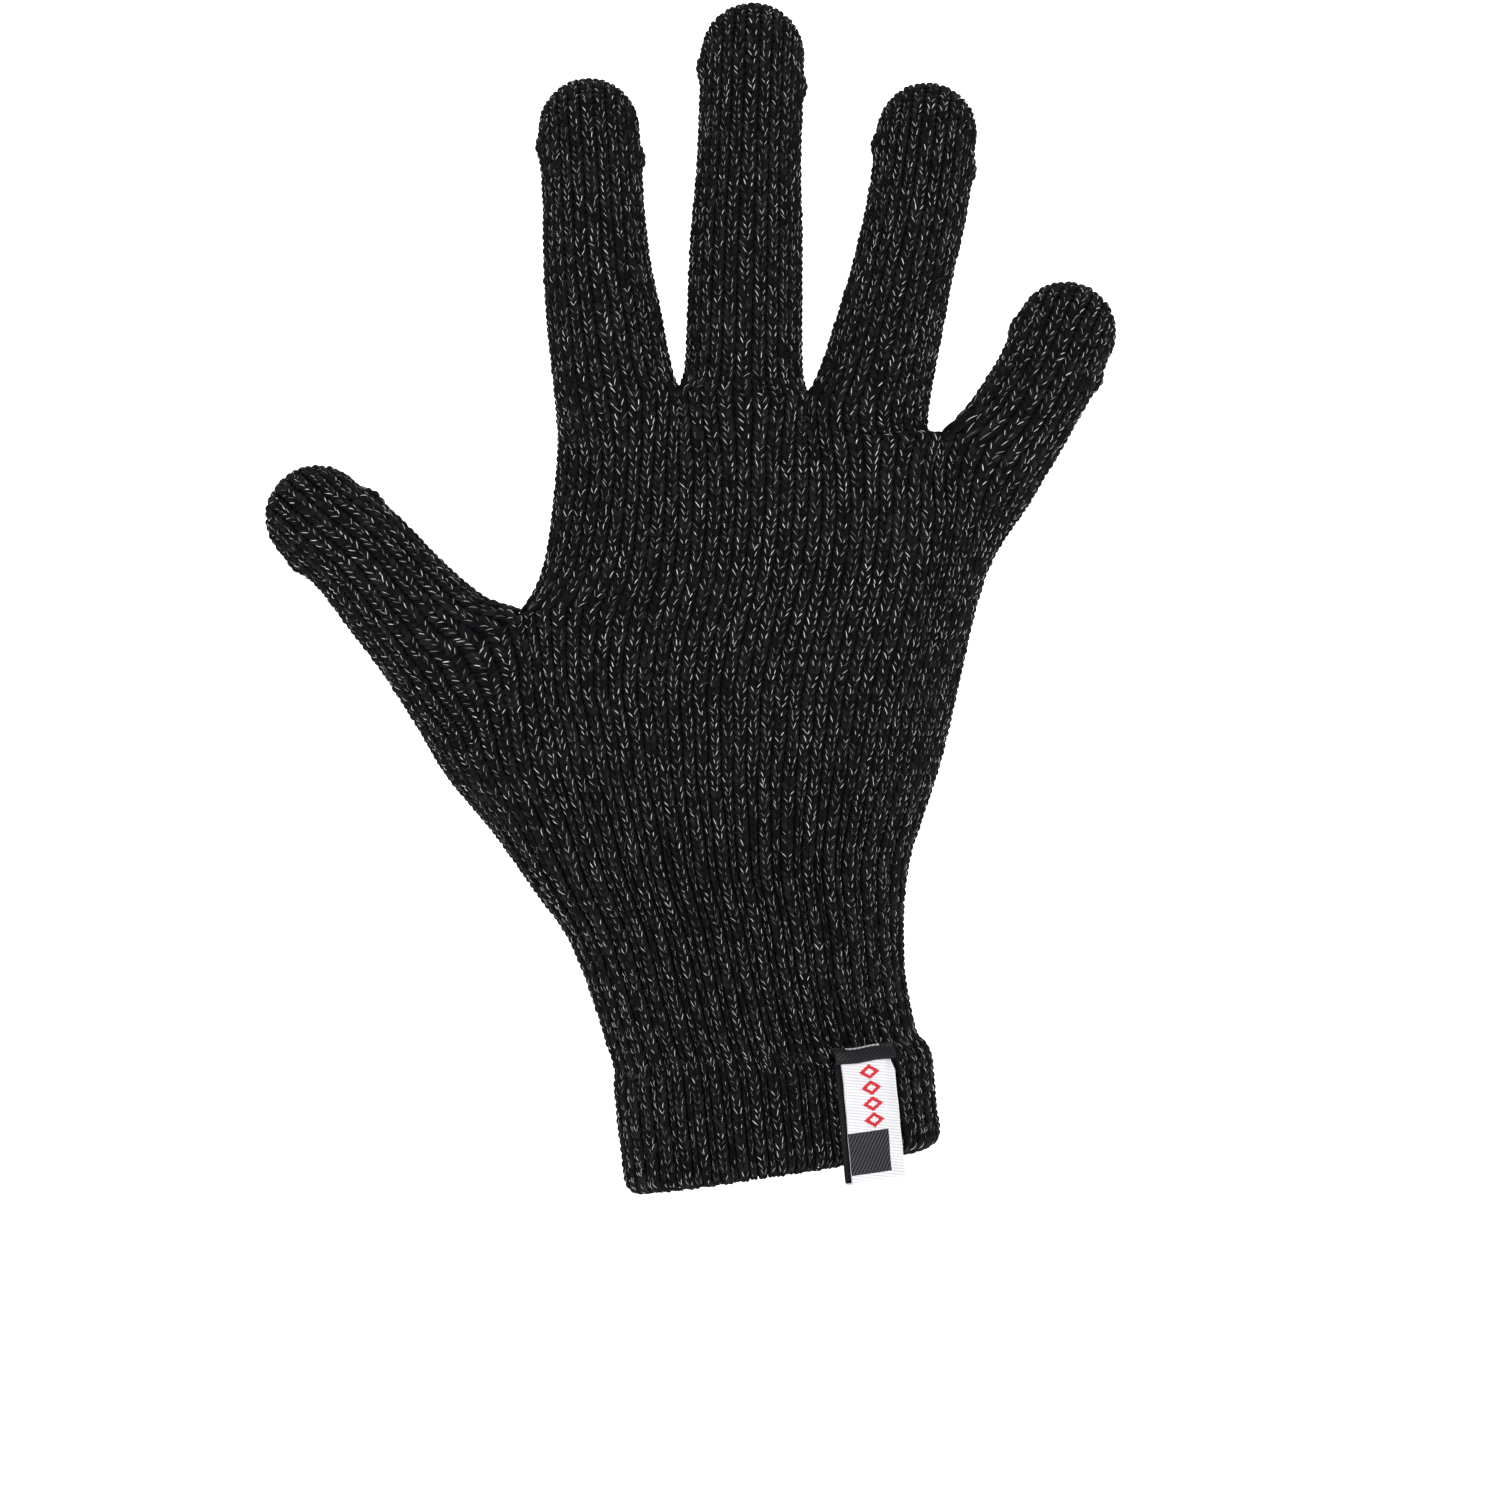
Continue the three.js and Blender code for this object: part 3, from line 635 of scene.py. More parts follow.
class Soup:
    """Collects quads of many small shapes into one mesh, with a material slot for each face."""

    def __init__(self):
        self.verts, self.faces, self.slots = [], [], []
        self.count = 0

    def add(self, verts, faces, slots):
        """verts is (shapes, points, 3), faces one shape's own quads, slots one number a shape or a face."""
        shapes, points = verts.shape[:2]
        if not shapes:
            return
        base = self.count + points * np.arange(shapes)
        self.verts.append(verts.reshape(-1, 3))
        self.faces.append((faces[None] + base[:, None, None]).reshape(-1, 4))
        slots = np.asarray(slots)
        self.slots.append(slots if len(slots) == len(faces) * shapes else np.repeat(slots, len(faces)))
        self.count += shapes * points

    def build(self, name, materials, scale=MM):
        verts = np.concatenate(self.verts) * scale
        faces = np.concatenate(self.faces)
        slots = np.concatenate(self.slots)
        mesh = bpy.data.meshes.new(name)
        mesh.vertices.add(len(verts))
        mesh.vertices.foreach_set("co", verts.astype(np.float32).ravel())
        mesh.loops.add(len(faces) * 4)
        mesh.loops.foreach_set("vertex_index", faces.astype(np.int32).ravel())
        mesh.polygons.add(len(faces))
        mesh.polygons.foreach_set("loop_start", np.arange(len(faces), dtype=np.int32) * 4)
        for material in materials:
            mesh.materials.append(material)
        mesh.polygons.foreach_set("material_index", slots.astype(np.int32))
        mesh.polygons.foreach_set("use_smooth", np.ones(len(faces), bool))
        mesh.update()
        mesh.validate()
        obj = bpy.data.objects.new(name, mesh)
        bpy.context.scene.collection.objects.link(obj)
        return obj


GROUND, YARN_A, YARN_B, YARN_C, SILVER_A, SILVER_B, SILVER_C, FUZZ, PALE_FUZZ = range(9)
FLECK_RINGS = 4
FLECK_SHARE = 0.9
SIDE_SHADE_FLECKS = 0.35  # share of the flecks that is left where the knit faces sideways: painted shade that makes the sides darker


def set_in_cells(template, centre, across, up, normal):
    """Template points (n, m, 3) in millimetres, set into cells whose own size they stretch to."""
    return (
        centre[:, None]
        + template[..., 0:1] / WALE * across[:, None]
        + template[..., 1:2] / ROW * up[:, None]
        + template[..., 2:3] * normal[:, None]
    )


def add_stitches(soup, centre, across, up, normal, rib, fleck_share):
    n = len(centre)
    if not n:
        return
    sunken = rib < -0.02
    lift = np.where(sunken, RIB_DEPTH * rib, 0.45 * RIB_DEPTH * np.maximum(rib, 0))
    shrink = np.where(sunken, 1 + 0.22 * rib, 1.0)
    for side in (-1, 1):
        jitter = RNG.normal(0, 1, (n, 3)) * np.array([0.07, 0.07, 0.05])
        lean = RNG.normal(0, 0.06, n)
        template = np.repeat(LEG[side][0][None], n, 0)
        template[..., 2] *= (1 + RNG.normal(0, 0.06, n))[:, None]
        template[..., 0] += lean[:, None] * template[..., 1]
        template[..., 0] *= shrink[:, None]
        template += jitter[:, None]
        template[..., 2] += lift[:, None]
        slot = RNG.choice([YARN_A, YARN_B, YARN_C], n, p=[0.42, 0.38, 0.2])
        soup.add(set_in_cells(template, centre, across, up, normal), LEG_FACES, slot)
        share = np.where(sunken, fleck_share * (1 + 0.3 * rib), fleck_share)
        # painted shade: fewer silver flecks where the knit turns sideways, so the glove's sides read darker
        share = share * (SIDE_SHADE_FLECKS + (1 - SIDE_SHADE_FLECKS) * np.abs(normal[:, 1]))
        chosen = np.flatnonzero(RNG.random(n) < share)
        if len(chosen):
            place = (centre[chosen], across[chosen], up[chosen], normal[chosen])
            add_flecks(soup, side, lean[chosen], jitter[chosen], lift[chosen], shrink[chosen], place)


def add_flecks(soup, side, lean, jitter, lift, shrink, place):
    """Short silver strands that lie along the crown of the chosen legs."""
    m = len(lean)
    _, path, lateral, height, half_width = LEG[side]
    low = RNG.uniform(0.06, 0.38, m)
    span = RNG.uniform(0.34, 0.66, m)
    s = np.clip(low[:, None] + span[:, None] * np.linspace(0, 1, FLECK_RINGS)[None], 0, 0.97)
    grid = np.linspace(0, 1, LEG_RINGS)
    along = np.stack([np.interp(s, grid, path[:, i]) for i in range(3)], -1)
    side_dir = np.stack([np.interp(s, grid, lateral[:, i]) for i in range(2)], -1)
    crown = np.interp(s, grid, height)
    reach = np.interp(s, grid, half_width)
    ramp = np.linspace(-1, 1, FLECK_RINGS)
    drift = RNG.uniform(-0.26, 0.26, m)[:, None] + RNG.normal(0, 0.1, m)[:, None] * ramp
    taper = np.array([0.35, 1.0, 1.0, 0.3])
    width = RNG.uniform(0.032, 0.062, m)[:, None] * taper
    drop = 1 - np.sqrt(np.clip(1 - (drift / reach) ** 2, 0, 1))
    verts = np.zeros((m, FLECK_RINGS, 3, 3))
    for k, offset in enumerate((-1, 0, 1)):
        verts[:, :, k, :2] = along[..., :2] + side_dir * (drift + offset * width)[..., None]
        rise = 0.04 * taper if offset == 0 else -0.02
        verts[:, :, k, 2] = along[..., 2] + crown * (1 - drop) + 0.02 + rise
    template = verts.reshape(m, -1, 3)
    template[..., 0] += lean[:, None] * template[..., 1]
    template[..., 0] *= shrink[:, None]
    template += jitter[:, None]
    template[..., 2] += lift[:, None]
    slot = RNG.choice([SILVER_A, SILVER_B, SILVER_C], m, p=[0.28, 0.36, 0.36])
    soup.add(set_in_cells(template, *place), grid_faces(FLECK_RINGS, 3), slot)


def add_fuzz(soup, centre, across, up, normal, share):
    """Fine fibres that stand off the yarn."""
    pick = np.flatnonzero(RNG.random(len(centre)) < share)
    m = len(pick)
    if not m:
        return
    root = (
        centre[pick]
        + across[pick] * RNG.uniform(-0.5, 0.5, (m, 1))
        + up[pick] * RNG.uniform(-0.5, 0.5, (m, 1))
        + normal[pick] * 0.35
    )
    length = RNG.gamma(3.0, 0.36, (m, 1))
    first = normal[pick] + RNG.normal(0, 0.75, (m, 3))
    first /= np.linalg.norm(first, axis=1)[:, None]
    second = first + RNG.normal(0, 0.6, (m, 3))
    second /= np.linalg.norm(second, axis=1)[:, None]
    middle = root + first * length * 0.5
    end = middle + second * length * 0.5
    side = np.cross(first, RNG.normal(0, 1, (m, 3)))
    side /= np.linalg.norm(side, axis=1)[:, None]
    other = np.cross(first, side)
    radius = RNG.uniform(0.014, 0.028, (m, 1))
    verts = np.zeros((m, 3, 3, 3))
    for r, (point, scale) in enumerate(((root, 1.0), (middle, 0.9), (end, 0.25))):
        for k in range(3):
            angle = 2 * math.pi * k / 3
            verts[:, r, k] = point + radius * scale * (side * math.cos(angle) + other * math.sin(angle))
    faces = [
        [r * 3 + k, r * 3 + (k + 1) % 3, r * 3 + (k + 1) % 3 + 3, r * 3 + k + 3]
        for r in (0, 1)
        for k in range(3)
    ]
    slot = np.where(RNG.random(m) < 0.1, PALE_FUZZ, FUZZ)
    soup.add(verts.reshape(m, -1, 3), np.array(faces), slot)


def add_ground(soup, lattice, rows, inset=0.15):
    """The dark cloth behind the stitches, as a continuous surface."""
    p = lattice.points
    across = np.gradient(p, axis=1)
    up = np.gradient(p, axis=0)
    normal = np.cross(across, up) * -lattice.face
    length = np.linalg.norm(normal, axis=-1)
    normal = normal / np.maximum(length, 1e-9)[..., None]
    sink = np.zeros(p.shape[:2])
    deep = np.minimum(lattice.rib, 0) * -RIB_DEPTH
    sink[:-1, :-1] = np.maximum(sink[:-1, :-1], deep)
    sink[:-1, 1:] = np.maximum(sink[:-1, 1:], deep)
    verts = p - normal * (inset + sink * 0.7)[..., None]
    keep = lattice.keep & rows[:, None]
    faces = grid_faces(*p.shape[:2])[keep.ravel()]
    if len(faces):
        soup.add(verts.reshape(1, -1, 3), faces, np.full(len(faces), GROUND))


# ---------------------------------------------------------------- materials
def new_material(name, colour, roughness, sheen=0.0, specular=0.1, metal=0.0):
    material = bpy.data.materials.new(name)
    material.use_nodes = True
    shader = material.node_tree.nodes["Principled BSDF"]
    shader.inputs["Base Color"].default_value = (*colour, 1.0)
    shader.inputs["Roughness"].default_value = roughness
    shader.inputs["Sheen Weight"].default_value = sheen
    shader.inputs["Sheen Roughness"].default_value = 0.5
    shader.inputs["Specular IOR Level"].default_value = specular
    shader.inputs["Metallic"].default_value = metal
    return material, material.node_tree.nodes, material.node_tree.links, shader


def noise_node(nodes, links, scale, detail=3.0):
    place_node = nodes.new("ShaderNodeTexCoord")
    noise = nodes.new("ShaderNodeTexNoise")
    noise.inputs["Scale"].default_value = scale
    noise.inputs["Detail"].default_value = detail
    links.new(place_node.outputs["Object"], noise.inputs["Vector"])
    return noise


def add_relief(nodes, links, shader, height, strength, distance):
    relief = nodes.new("ShaderNodeBump")
    relief.inputs["Strength"].default_value = strength
    relief.inputs["Distance"].default_value = distance
    links.new(height, relief.inputs["Height"])
    links.new(relief.outputs["Normal"], shader.inputs["Normal"])


def yarn_material(name, colour, roughness, spread, scale, relief=0.0, **options):
    """Yarn whose roughness and fibres come from noise in the object's own space."""
    material, nodes, links, shader = new_material(name, colour, roughness, **options)
    noise = noise_node(nodes, links, scale)
    remap = nodes.new("ShaderNodeMapRange")
    remap.inputs["To Min"].default_value = roughness - spread
    remap.inputs["To Max"].default_value = min(roughness + spread, 1.0)
    links.new(noise.outputs["Fac"], remap.inputs["Value"])
    links.new(remap.outputs["Result"], shader.inputs["Roughness"])
    if relief:
        add_relief(nodes, links, shader, noise.outputs["Fac"], relief, 0.0002)
    return material


KNIT = [
    yarn_material("knit_ground", (0.0028, 0.0028, 0.0033), 0.95, 0.04, 700.0, 0.4, specular=0.01),
    yarn_material(
        "yarn_black", (0.0040, 0.0040, 0.0048), 0.85, 0.1, 2600.0, 0.9, specular=0.04, sheen=0.003
    ),
    yarn_material(
        "yarn_black_soft", (0.0050, 0.0050, 0.0060), 0.85, 0.1, 2200.0, 0.9, specular=0.06, sheen=0.006
    ),
    yarn_material(
        "yarn_charcoal", (0.0066, 0.0066, 0.0076), 0.85, 0.1, 2400.0, 0.9, specular=0.1, sheen=0.01
    ),
    yarn_material("silver_bright", (0.66, 0.63, 0.57), 0.42, 0.1, 3000.0, specular=0.4, metal=0.2),
    yarn_material("silver_mid", (0.34, 0.325, 0.29), 0.5, 0.1, 3000.0, specular=0.3, metal=0.2),
    yarn_material("silver_dim", (0.14, 0.137, 0.126), 0.55, 0.1, 3000.0, specular=0.2, metal=0.1),
    yarn_material("fuzz_dark", (0.012, 0.012, 0.015), 0.9, 0.05, 900.0, specular=0.06, sheen=0.006),
    yarn_material("fuzz_pale", (0.12, 0.12, 0.12), 0.8, 0.05, 900.0, specular=0.1),
]
FUZZ_SHARE = 0.95


def knit_piece(name, parts, fleck_share=FLECK_SHARE):
    """One visual piece from pairs of a lattice and a mask of its rows."""
    soup = Soup()
    for lattice, mask in parts:
        rows = np.ones(lattice.points.shape[0] - 1, bool) if mask is None else mask
        if not (lattice.keep & rows[:, None]).any():
            continue
        add_ground(soup, lattice, rows)
        found = cells(lattice, rows)
        add_stitches(soup, *found, fleck_share)
        add_fuzz(soup, *found[:4], FUZZ_SHARE)
    obj = soup.build(name, KNIT)
    return obj


# ---------------------------------------------------------------- fingertips
def dome_lattices(name):
    """Columns of a fingertip go over its end side by side and meet at the closing course."""
    finger = FINGER[name]
    centre, along, a, b = (v[0] for v in finger.section([finger.dome_t]))
    a = a - TIP_NARROWING
    across = np.array([along[2], 0.0, -along[0]])
    deep = np.array([0.0, 1.0, 0.0])
    out = []
    for face in (BACK, FRONT):
        u, v = superellipse(finger_angles(name, face), FINGER_POWER)
        for c in range(len(u) - 1):
            lines = []
            for k in (c, c + 1):
                reach = (a + TIP_NARROWING) * math.sqrt(max(1 - min(abs(u[k]), 1.0) ** 2, 0.0))
                lines.append((u[k] * a, reach, v[k] * b))
            length = max(line[1] for line in lines)
            count = max(int(round(length * math.pi / 2 / ROW)), 1)
            psi = np.linspace(0, math.pi / 2, count + 1)
            points = np.zeros((count + 1, 2, 3))
            for k, (x, reach, y) in enumerate(lines):
                lift = along * (reach * np.sin(psi))[:, None]
                points[:, k] = centre + across * x + lift + deep * (y * np.cos(psi))[:, None]
            out.append(Lattice(points, face))
    return out


# ---------------------------------------------------------------- pieces: fingers
def finger_bodies(name):
    """Bodies from the hand to the tip."""
    parts = SEGMENT_NAMES[len(FINGER[name].joints)][::-1]
    return ["hand"] + [f"{name}_{part}_segment" for part in parts]


def rows_between(lattice, low, high):
    """Mask of the rows whose middle lies between two distances along the finger."""
    middle = (lattice.t[:-1] + lattice.t[1:]) / 2
    return (middle >= low) & (middle < high)


def along_point(finger, from_tip, shift):
    centre, along = finger.station(from_tip)
    return tuple((centre + along * shift) * MM)


def finger_start(name):
    """Where a finger's own knit pieces begin, as t."""
    _, from_tip, half = FINGER[name].joints[-1]
    if name == "thumb":
        return FINGER[name].knots[2] - 0.1
    return FINGER[name].tip_t - from_tip - half - 0.2


def build_finger(name):
    finger = FINGER[name]
    joints = list(reversed(finger.joints))
    cuts = [finger.tip_t - s for s in reversed(finger.splits)]
    bodies = finger_bodies(name)
    edges = [finger_start(name), *cuts, finger.dome_t + 1.0]
    for i, (kind, from_tip, half) in enumerate(joints):
        parts = []
        for face in (BACK, FRONT):
            strip = STRIPS[name, face]
            parts.append((strip, rows_between(strip, edges[i], edges[i + 1])))
        if i == len(joints) - 1:
            parts += [(dome, None) for dome in dome_lattices(name)]
        piece = knit_piece(f"{name}_{kind}_knit", parts)
        low = -half
        if name == "thumb" and i == 0:
            low = edges[0] - (finger.tip_t - from_tip)
        along_point(finger, from_tip, low)
        along_point(finger, from_tip, low + 2 * half)
        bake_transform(piece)
        part = bodies[i + 1].split("_")[1]
        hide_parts(f"{name}_{part}", f"{name}_{kind}_crease")


for finger_name in ORDER:
    build_finger(finger_name)

# ---------------------------------------------------------------- pieces: palm and wrist
WRIST_TOP = 70.0
WRIST_TOP_ROW = level_row(WRIST_TOP)


def hand_parts(face, names, low_row, high_row=None):
    """Rows of the strips on the hand, up to where a finger's own piece begins."""
    parts = []
    for name in names:
        lattice = STRIPS[name, face]
        rows = np.arange(lattice.points.shape[0] - 1)
        mask = rows >= low_row
        if high_row is not None:
            mask &= rows < high_row
        else:
            middle = (lattice.t[:-1] + lattice.t[1:]) / 2
            mask &= (middle < finger_start(name)) & (rows < TOP_ROW[name] + 2)
        parts.append((lattice, mask))
    return parts


FACE_LABELS = {BACK: "back", FRONT: "palm"}
for piece_face, piece_label in FACE_LABELS.items():
    for half_label, half_names in (("thumb", ORDER[:2]), ("little", ORDER[2:])):
        half_parts = hand_parts(piece_face, half_names, WRIST_TOP_ROW)
        palm = knit_piece(f"{piece_label}_{half_label}_knit", half_parts)
        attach(palm, "hand")
        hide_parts("hand_shell")
    wrist = knit_piece(f"wrist_{piece_label}_knit", hand_parts(piece_face, ORDER, 0, WRIST_TOP_ROW))
    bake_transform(wrist)
    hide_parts("wrist_rib", "wrist_crease")

# ---------------------------------------------------------------- hem
HEM_TOP = 21.0
HEM_INSIDE_TOP = 15.0
HEM_TAPER = (0.92, 0.7, 0.3, -0.35)  # the hem's last courses sink into the wrist
FOLD = 1.7  # radius of the rounded rim
HEM_FLARE = 1.4  # the hem stands off the wrist at the little finger's side
HEM_INSIDE = HEM_RISE - 2 * FOLD


def hem_profile():
    """Height and distance from the wrist's surface: inside the cuff, round the rim, up outside."""
    inside = [(s, HEM_INSIDE) for s in np.arange(HEM_INSIDE_TOP, FOLD, -ROW)]
    turn = []
    steps = int(round(math.pi * FOLD / ROW))
    for step in range(steps + 1):
        angle = math.pi * step / steps
        turn.append((FOLD - FOLD * math.sin(angle), HEM_RISE - FOLD - FOLD * math.cos(angle)))
    outside = [(s, HEM_RISE) for s in np.arange(FOLD + ROW, HEM_TOP - 3.2, ROW)]
    low = outside[-1][0] + ROW
    top = [(low + ROW * step, HEM_RISE * share) for step, share in enumerate(HEM_TAPER)]
    return np.array(inside + turn + outside + top)


def hem_lattice(face):
    rows = []
    for s, rise in hem_profile():
        points = half_loop(HAND, s, face)
        middle = (points[0] + points[-1]) / 2
        axis = points[-1] - points[0]
        half = np.linalg.norm(axis) / 2
        axis /= 2 * half
        along = (points - middle) @ axis
        depth = np.abs(points[:, 1]).max()
        flare = HEM_FLARE * smooth(along / half) * np.clip(rise / HEM_RISE, 0, 1)
        points = middle + axis * (along * (1 + rise / half) + flare)[:, None]
        points[:, 1] = half_loop(HAND, s, face)[:, 1] * (1 + rise / depth)
        run = lengths(points)
        marks = np.linspace(0, run[-1], sum(WIDTHS) + 1)
        rows.append(np.stack([np.interp(marks, run, points[:, i]) for i in range(3)], 1))
    at_rim = np.exp(-((np.array([s for s, _ in hem_profile()]) / (1.5 * FOLD)) ** 2))
    points, rib = ribbed(np.array(rows), face, 1 - 0.7 * at_rim, 0)
    return Lattice(points, face, rib=rib)


for piece_face, piece_label in FACE_LABELS.items():
    hem = knit_piece(f"hem_{piece_label}_knit", [(hem_lattice(piece_face), None)])
    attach(hem, "cuff")
    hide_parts("cuff_hem")

# ---------------------------------------------------------------- linking yarn
LINK_HEIGHT = 21.9  # where the turned-up hem is linked to the wrist
LINK_WAVE = 0.5
LINK_RISE = 0.12
LINK_RADIUS = 0.3
LINK_STEPS = 8  # steps of the wave at each column
LINK_SIDES = 6


def build_linking_yarn():
    """A low wave of yarn that catches every column of the hem's last course."""
    soup = Soup()
    around = np.linspace(0, 2 * math.pi, LINK_SIDES + 1)
    for face in (BACK, FRONT):
        base = half_loop(HAND, LINK_HEIGHT, face)
        run = lengths(base)
        marks = np.linspace(0, run[-1], sum(WIDTHS) * LINK_STEPS + 1)
        line = np.stack([np.interp(marks, run, base[:, i]) for i in range(3)], 1)
        out = np.cross(np.gradient(line, axis=0), (0.0, 0.0, 1.0))
        out /= np.linalg.norm(out, axis=1)[:, None]
        out *= np.sign((out * (line - line.mean(0))).sum(1) + (out[:, 1] * face) * 1e-3)[:, None]
        phase = 2 * math.pi * np.arange(len(line)) / LINK_STEPS
        line = line + out * (LINK_RISE + 0.16 * np.cos(phase))[:, None]
        line[:, 2] += LINK_WAVE * np.sin(phase)
        along = np.gradient(line, axis=0)
        along /= np.linalg.norm(along, axis=1)[:, None]
        rise = np.cross(along, out)
        ring = out[:, None] * np.cos(around)[None, :, None] + rise[:, None] * np.sin(around)[None, :, None]
        verts = (line[:, None] + LINK_RADIUS * ring).reshape(1, -1, 3)
        faces = grid_faces(len(line), LINK_SIDES + 1)
        soup.add(verts, faces, np.full(len(faces), YARN_A))
    yarn = soup.build("linking_yarn_loops", KNIT)
    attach(yarn, "cuff")
    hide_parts("linking_yarn")


build_linking_yarn()

# ---------------------------------------------------------------- label
LABEL_ORIGIN = np.array([15.1548, -18.4295, 19.9859])
LABEL_SIDE = np.array([0.90587, 0.41016, 0.10565])
LABEL_UP = np.array([-0.11584, 0.0, 0.99327])
LABEL_OUT = np.array([0.4074, -0.91201, 0.04751])
LABEL_WIDTH = 11.0
LABEL_DROP = 21.4
LABEL_ACROSS = 60
LABEL_STEPS_DOWN = 128
LABEL_FOLD_STEPS = 8
LABEL_BACK_STEPS = 20
LABEL_THICKNESS = 0.28
WHITE, RED, DARK, BLACK_EDGE = range(4)


def twill_material(name, pale, deep, roughness, pitch, angle, specular=0.5):
    """Woven satin: fine diagonal threads."""
    material, nodes, links, shader = new_material(name, pale, roughness, specular=specular)
    uv = nodes.new("ShaderNodeUVMap")
    uv.uv_map = "cloth"
    turn = nodes.new("ShaderNodeMapping")
    turn.inputs["Rotation"].default_value = (0, 0, math.radians(angle))
    links.new(uv.outputs["UV"], turn.inputs["Vector"])
    wave = nodes.new("ShaderNodeTexWave")
    wave.wave_type = "BANDS"
    wave.bands_direction = "Y"
    wave.inputs["Scale"].default_value = 0.314 / pitch
    wave.inputs["Distortion"].default_value = 0.6
    wave.inputs["Detail Scale"].default_value = 3.0
    links.new(turn.outputs["Vector"], wave.inputs["Vector"])
    ramp = nodes.new("ShaderNodeValToRGB")
    ramp.color_ramp.elements[0].color = (*deep, 1)
    ramp.color_ramp.elements[1].color = (*pale, 1)
    ramp.color_ramp.elements[1].position = 0.55
    links.new(wave.outputs["Fac"], ramp.inputs["Fac"])
    links.new(ramp.outputs["Color"], shader.inputs["Base Color"])
    add_relief(nodes, links, shader, wave.outputs["Fac"], 0.5, 0.00006)
    return material


LABEL_MATERIALS = [
    twill_material("satin_white", (0.60, 0.595, 0.61), (0.43, 0.43, 0.46), 0.5, 0.55, 12, 0.2),
    twill_material("satin_red", (0.48, 0.022, 0.034), (0.34, 0.014, 0.022), 0.5, 0.55, 12, 0.12),
    twill_material("satin_dark", (0.010, 0.010, 0.012), (0.052, 0.054, 0.060), 0.55, 0.62, -58, 0.1),
    twill_material("satin_black", (0.006, 0.006, 0.007), (0.014, 0.014, 0.016), 0.5, 0.5, 30, 0.1),
]
DIAMONDS = 4
DIAMOND_TOP, DIAMOND_PITCH = -0.9, 3.0
DIAMOND_HALF_HIGH, DIAMOND_HALF_WIDE = 1.44, 2.15
BLOCK_TOP, BLOCK_BOTTOM, BLOCK_RIGHT = -11.9, -19.7, 2.7


def label_colour(x, y):
    """Slot of one spot of the label's face; x from its middle, y down from its top."""
    if BLOCK_BOTTOM < y < BLOCK_TOP and x < BLOCK_RIGHT:
        return DARK
    number = round((DIAMOND_TOP - y) / DIAMOND_PITCH)
    if 0 <= number < DIAMONDS:
        off = abs(y - DIAMOND_TOP + number * DIAMOND_PITCH) / DIAMOND_HALF_HIGH + abs(x) / DIAMOND_HALF_WIDE
        if 0.45 < off < 1:
            return RED
    return WHITE


def label_lines():
    """Profile of the ribbon: y along LABEL_UP, distance out from the cuff, and which layer it is."""
    front_out, back_out = 2.5, 1.0
    radius = (front_out - back_out) / 2
    low = -LABEL_DROP + radius
    lines = []
    for y in np.linspace(1.6, low, LABEL_STEPS_DOWN):
        lines.append((y, front_out))
    for step in range(1, LABEL_FOLD_STEPS + 1):
        angle = math.pi * step / LABEL_FOLD_STEPS
        lines.append((low - radius * math.sin(angle), (front_out + back_out) / 2 + radius * math.cos(angle)))
    for y in np.linspace(low, 1.6, LABEL_BACK_STEPS + 1)[1:]:
        lines.append((y, back_out))
    return np.array(lines)


def label_points(x, lines):
    """The ribbon bulges along its middle and its right edge curls back toward the cuff near the top."""
    y, out = lines[:, 0][:, None], lines[:, 1][:, None]
    hang = smooth(-y / LABEL_DROP)
    bulge = 0.35 * (1 - (2 * x / LABEL_WIDTH) ** 2) * np.sin(math.pi * np.clip(-y / LABEL_DROP, 0, 1))
    curl = -0.5 * smooth((x - 3.3) / 2.2) * (1 - hang) * (out > 1.6)
    shift = 0.3 - 0.55 * hang - 0.6 * smooth((x - 3.0) / 2.5) * smooth((y + 1.6) / 2.6)
    ripple = 0.07 * np.sin(y * 0.9 + 0.5 * x)
    where = x + shift - 0.7 * smooth((2.3 - out) / 1.2)
    return (
        LABEL_ORIGIN
        + LABEL_SIDE * where[..., None]
        + LABEL_UP * (y + 0 * x)[..., None]
        + LABEL_OUT * (out + bulge + curl + ripple)[..., None]
    )


def add_uv(obj, uv_of_vertex):
    layer = obj.data.uv_layers.new(name="cloth")
    index = np.zeros(len(obj.data.loops), np.int32)
    obj.data.loops.foreach_get("vertex_index", index)
    layer.data.foreach_set("uv", uv_of_vertex[index].astype(np.float32).ravel())


def build_ribbon(name, points, slots, back_slots, thickness, materials, uv):
    """A sheet with thickness: its face, and its back and edges with one slot a row."""
    rows, columns = points.shape[:2]
    normal = np.cross(np.gradient(points, axis=0), np.gradient(points, axis=1))
    normal /= np.linalg.norm(normal, axis=-1)[..., None]
    face = points + normal * thickness / 2
    back = points - normal * thickness / 2
    verts = np.concatenate([face.reshape(-1, 3), back.reshape(-1, 3)])
    quads = grid_faces(rows, columns)
    n = rows * columns
    loop = [r * columns for r in range(rows - 1)]
    edges = [[i, i + columns, i + columns + n, i + n] for i in loop]
    right = [i + columns - 1 for i in loop]
    edges += [[i + columns, i, i + n, i + columns + n] for i in right]
    last = (rows - 1) * columns
    edges += [[i + 1, i, i + n, i + 1 + n] for i in range(columns - 1)]
    edges += [[last + i, last + i + 1, last + i + 1 + n, last + i + n] for i in range(columns - 1)]
    faces = np.concatenate([quads[:, ::-1], quads + n, np.array(edges)])
    ends = [np.full(columns - 1, back_slots[0]), np.full(columns - 1, back_slots[-1])]
    back_faces = np.repeat(back_slots, columns - 1)
    all_slots = np.concatenate([slots.ravel(), back_faces, back_slots, back_slots, *ends])
    soup = Soup()
    soup.add(verts[None], faces, all_slots)
    obj = soup.build(name, materials)
    add_uv(obj, np.concatenate([uv.reshape(-1, 2)] * 2))
    return obj


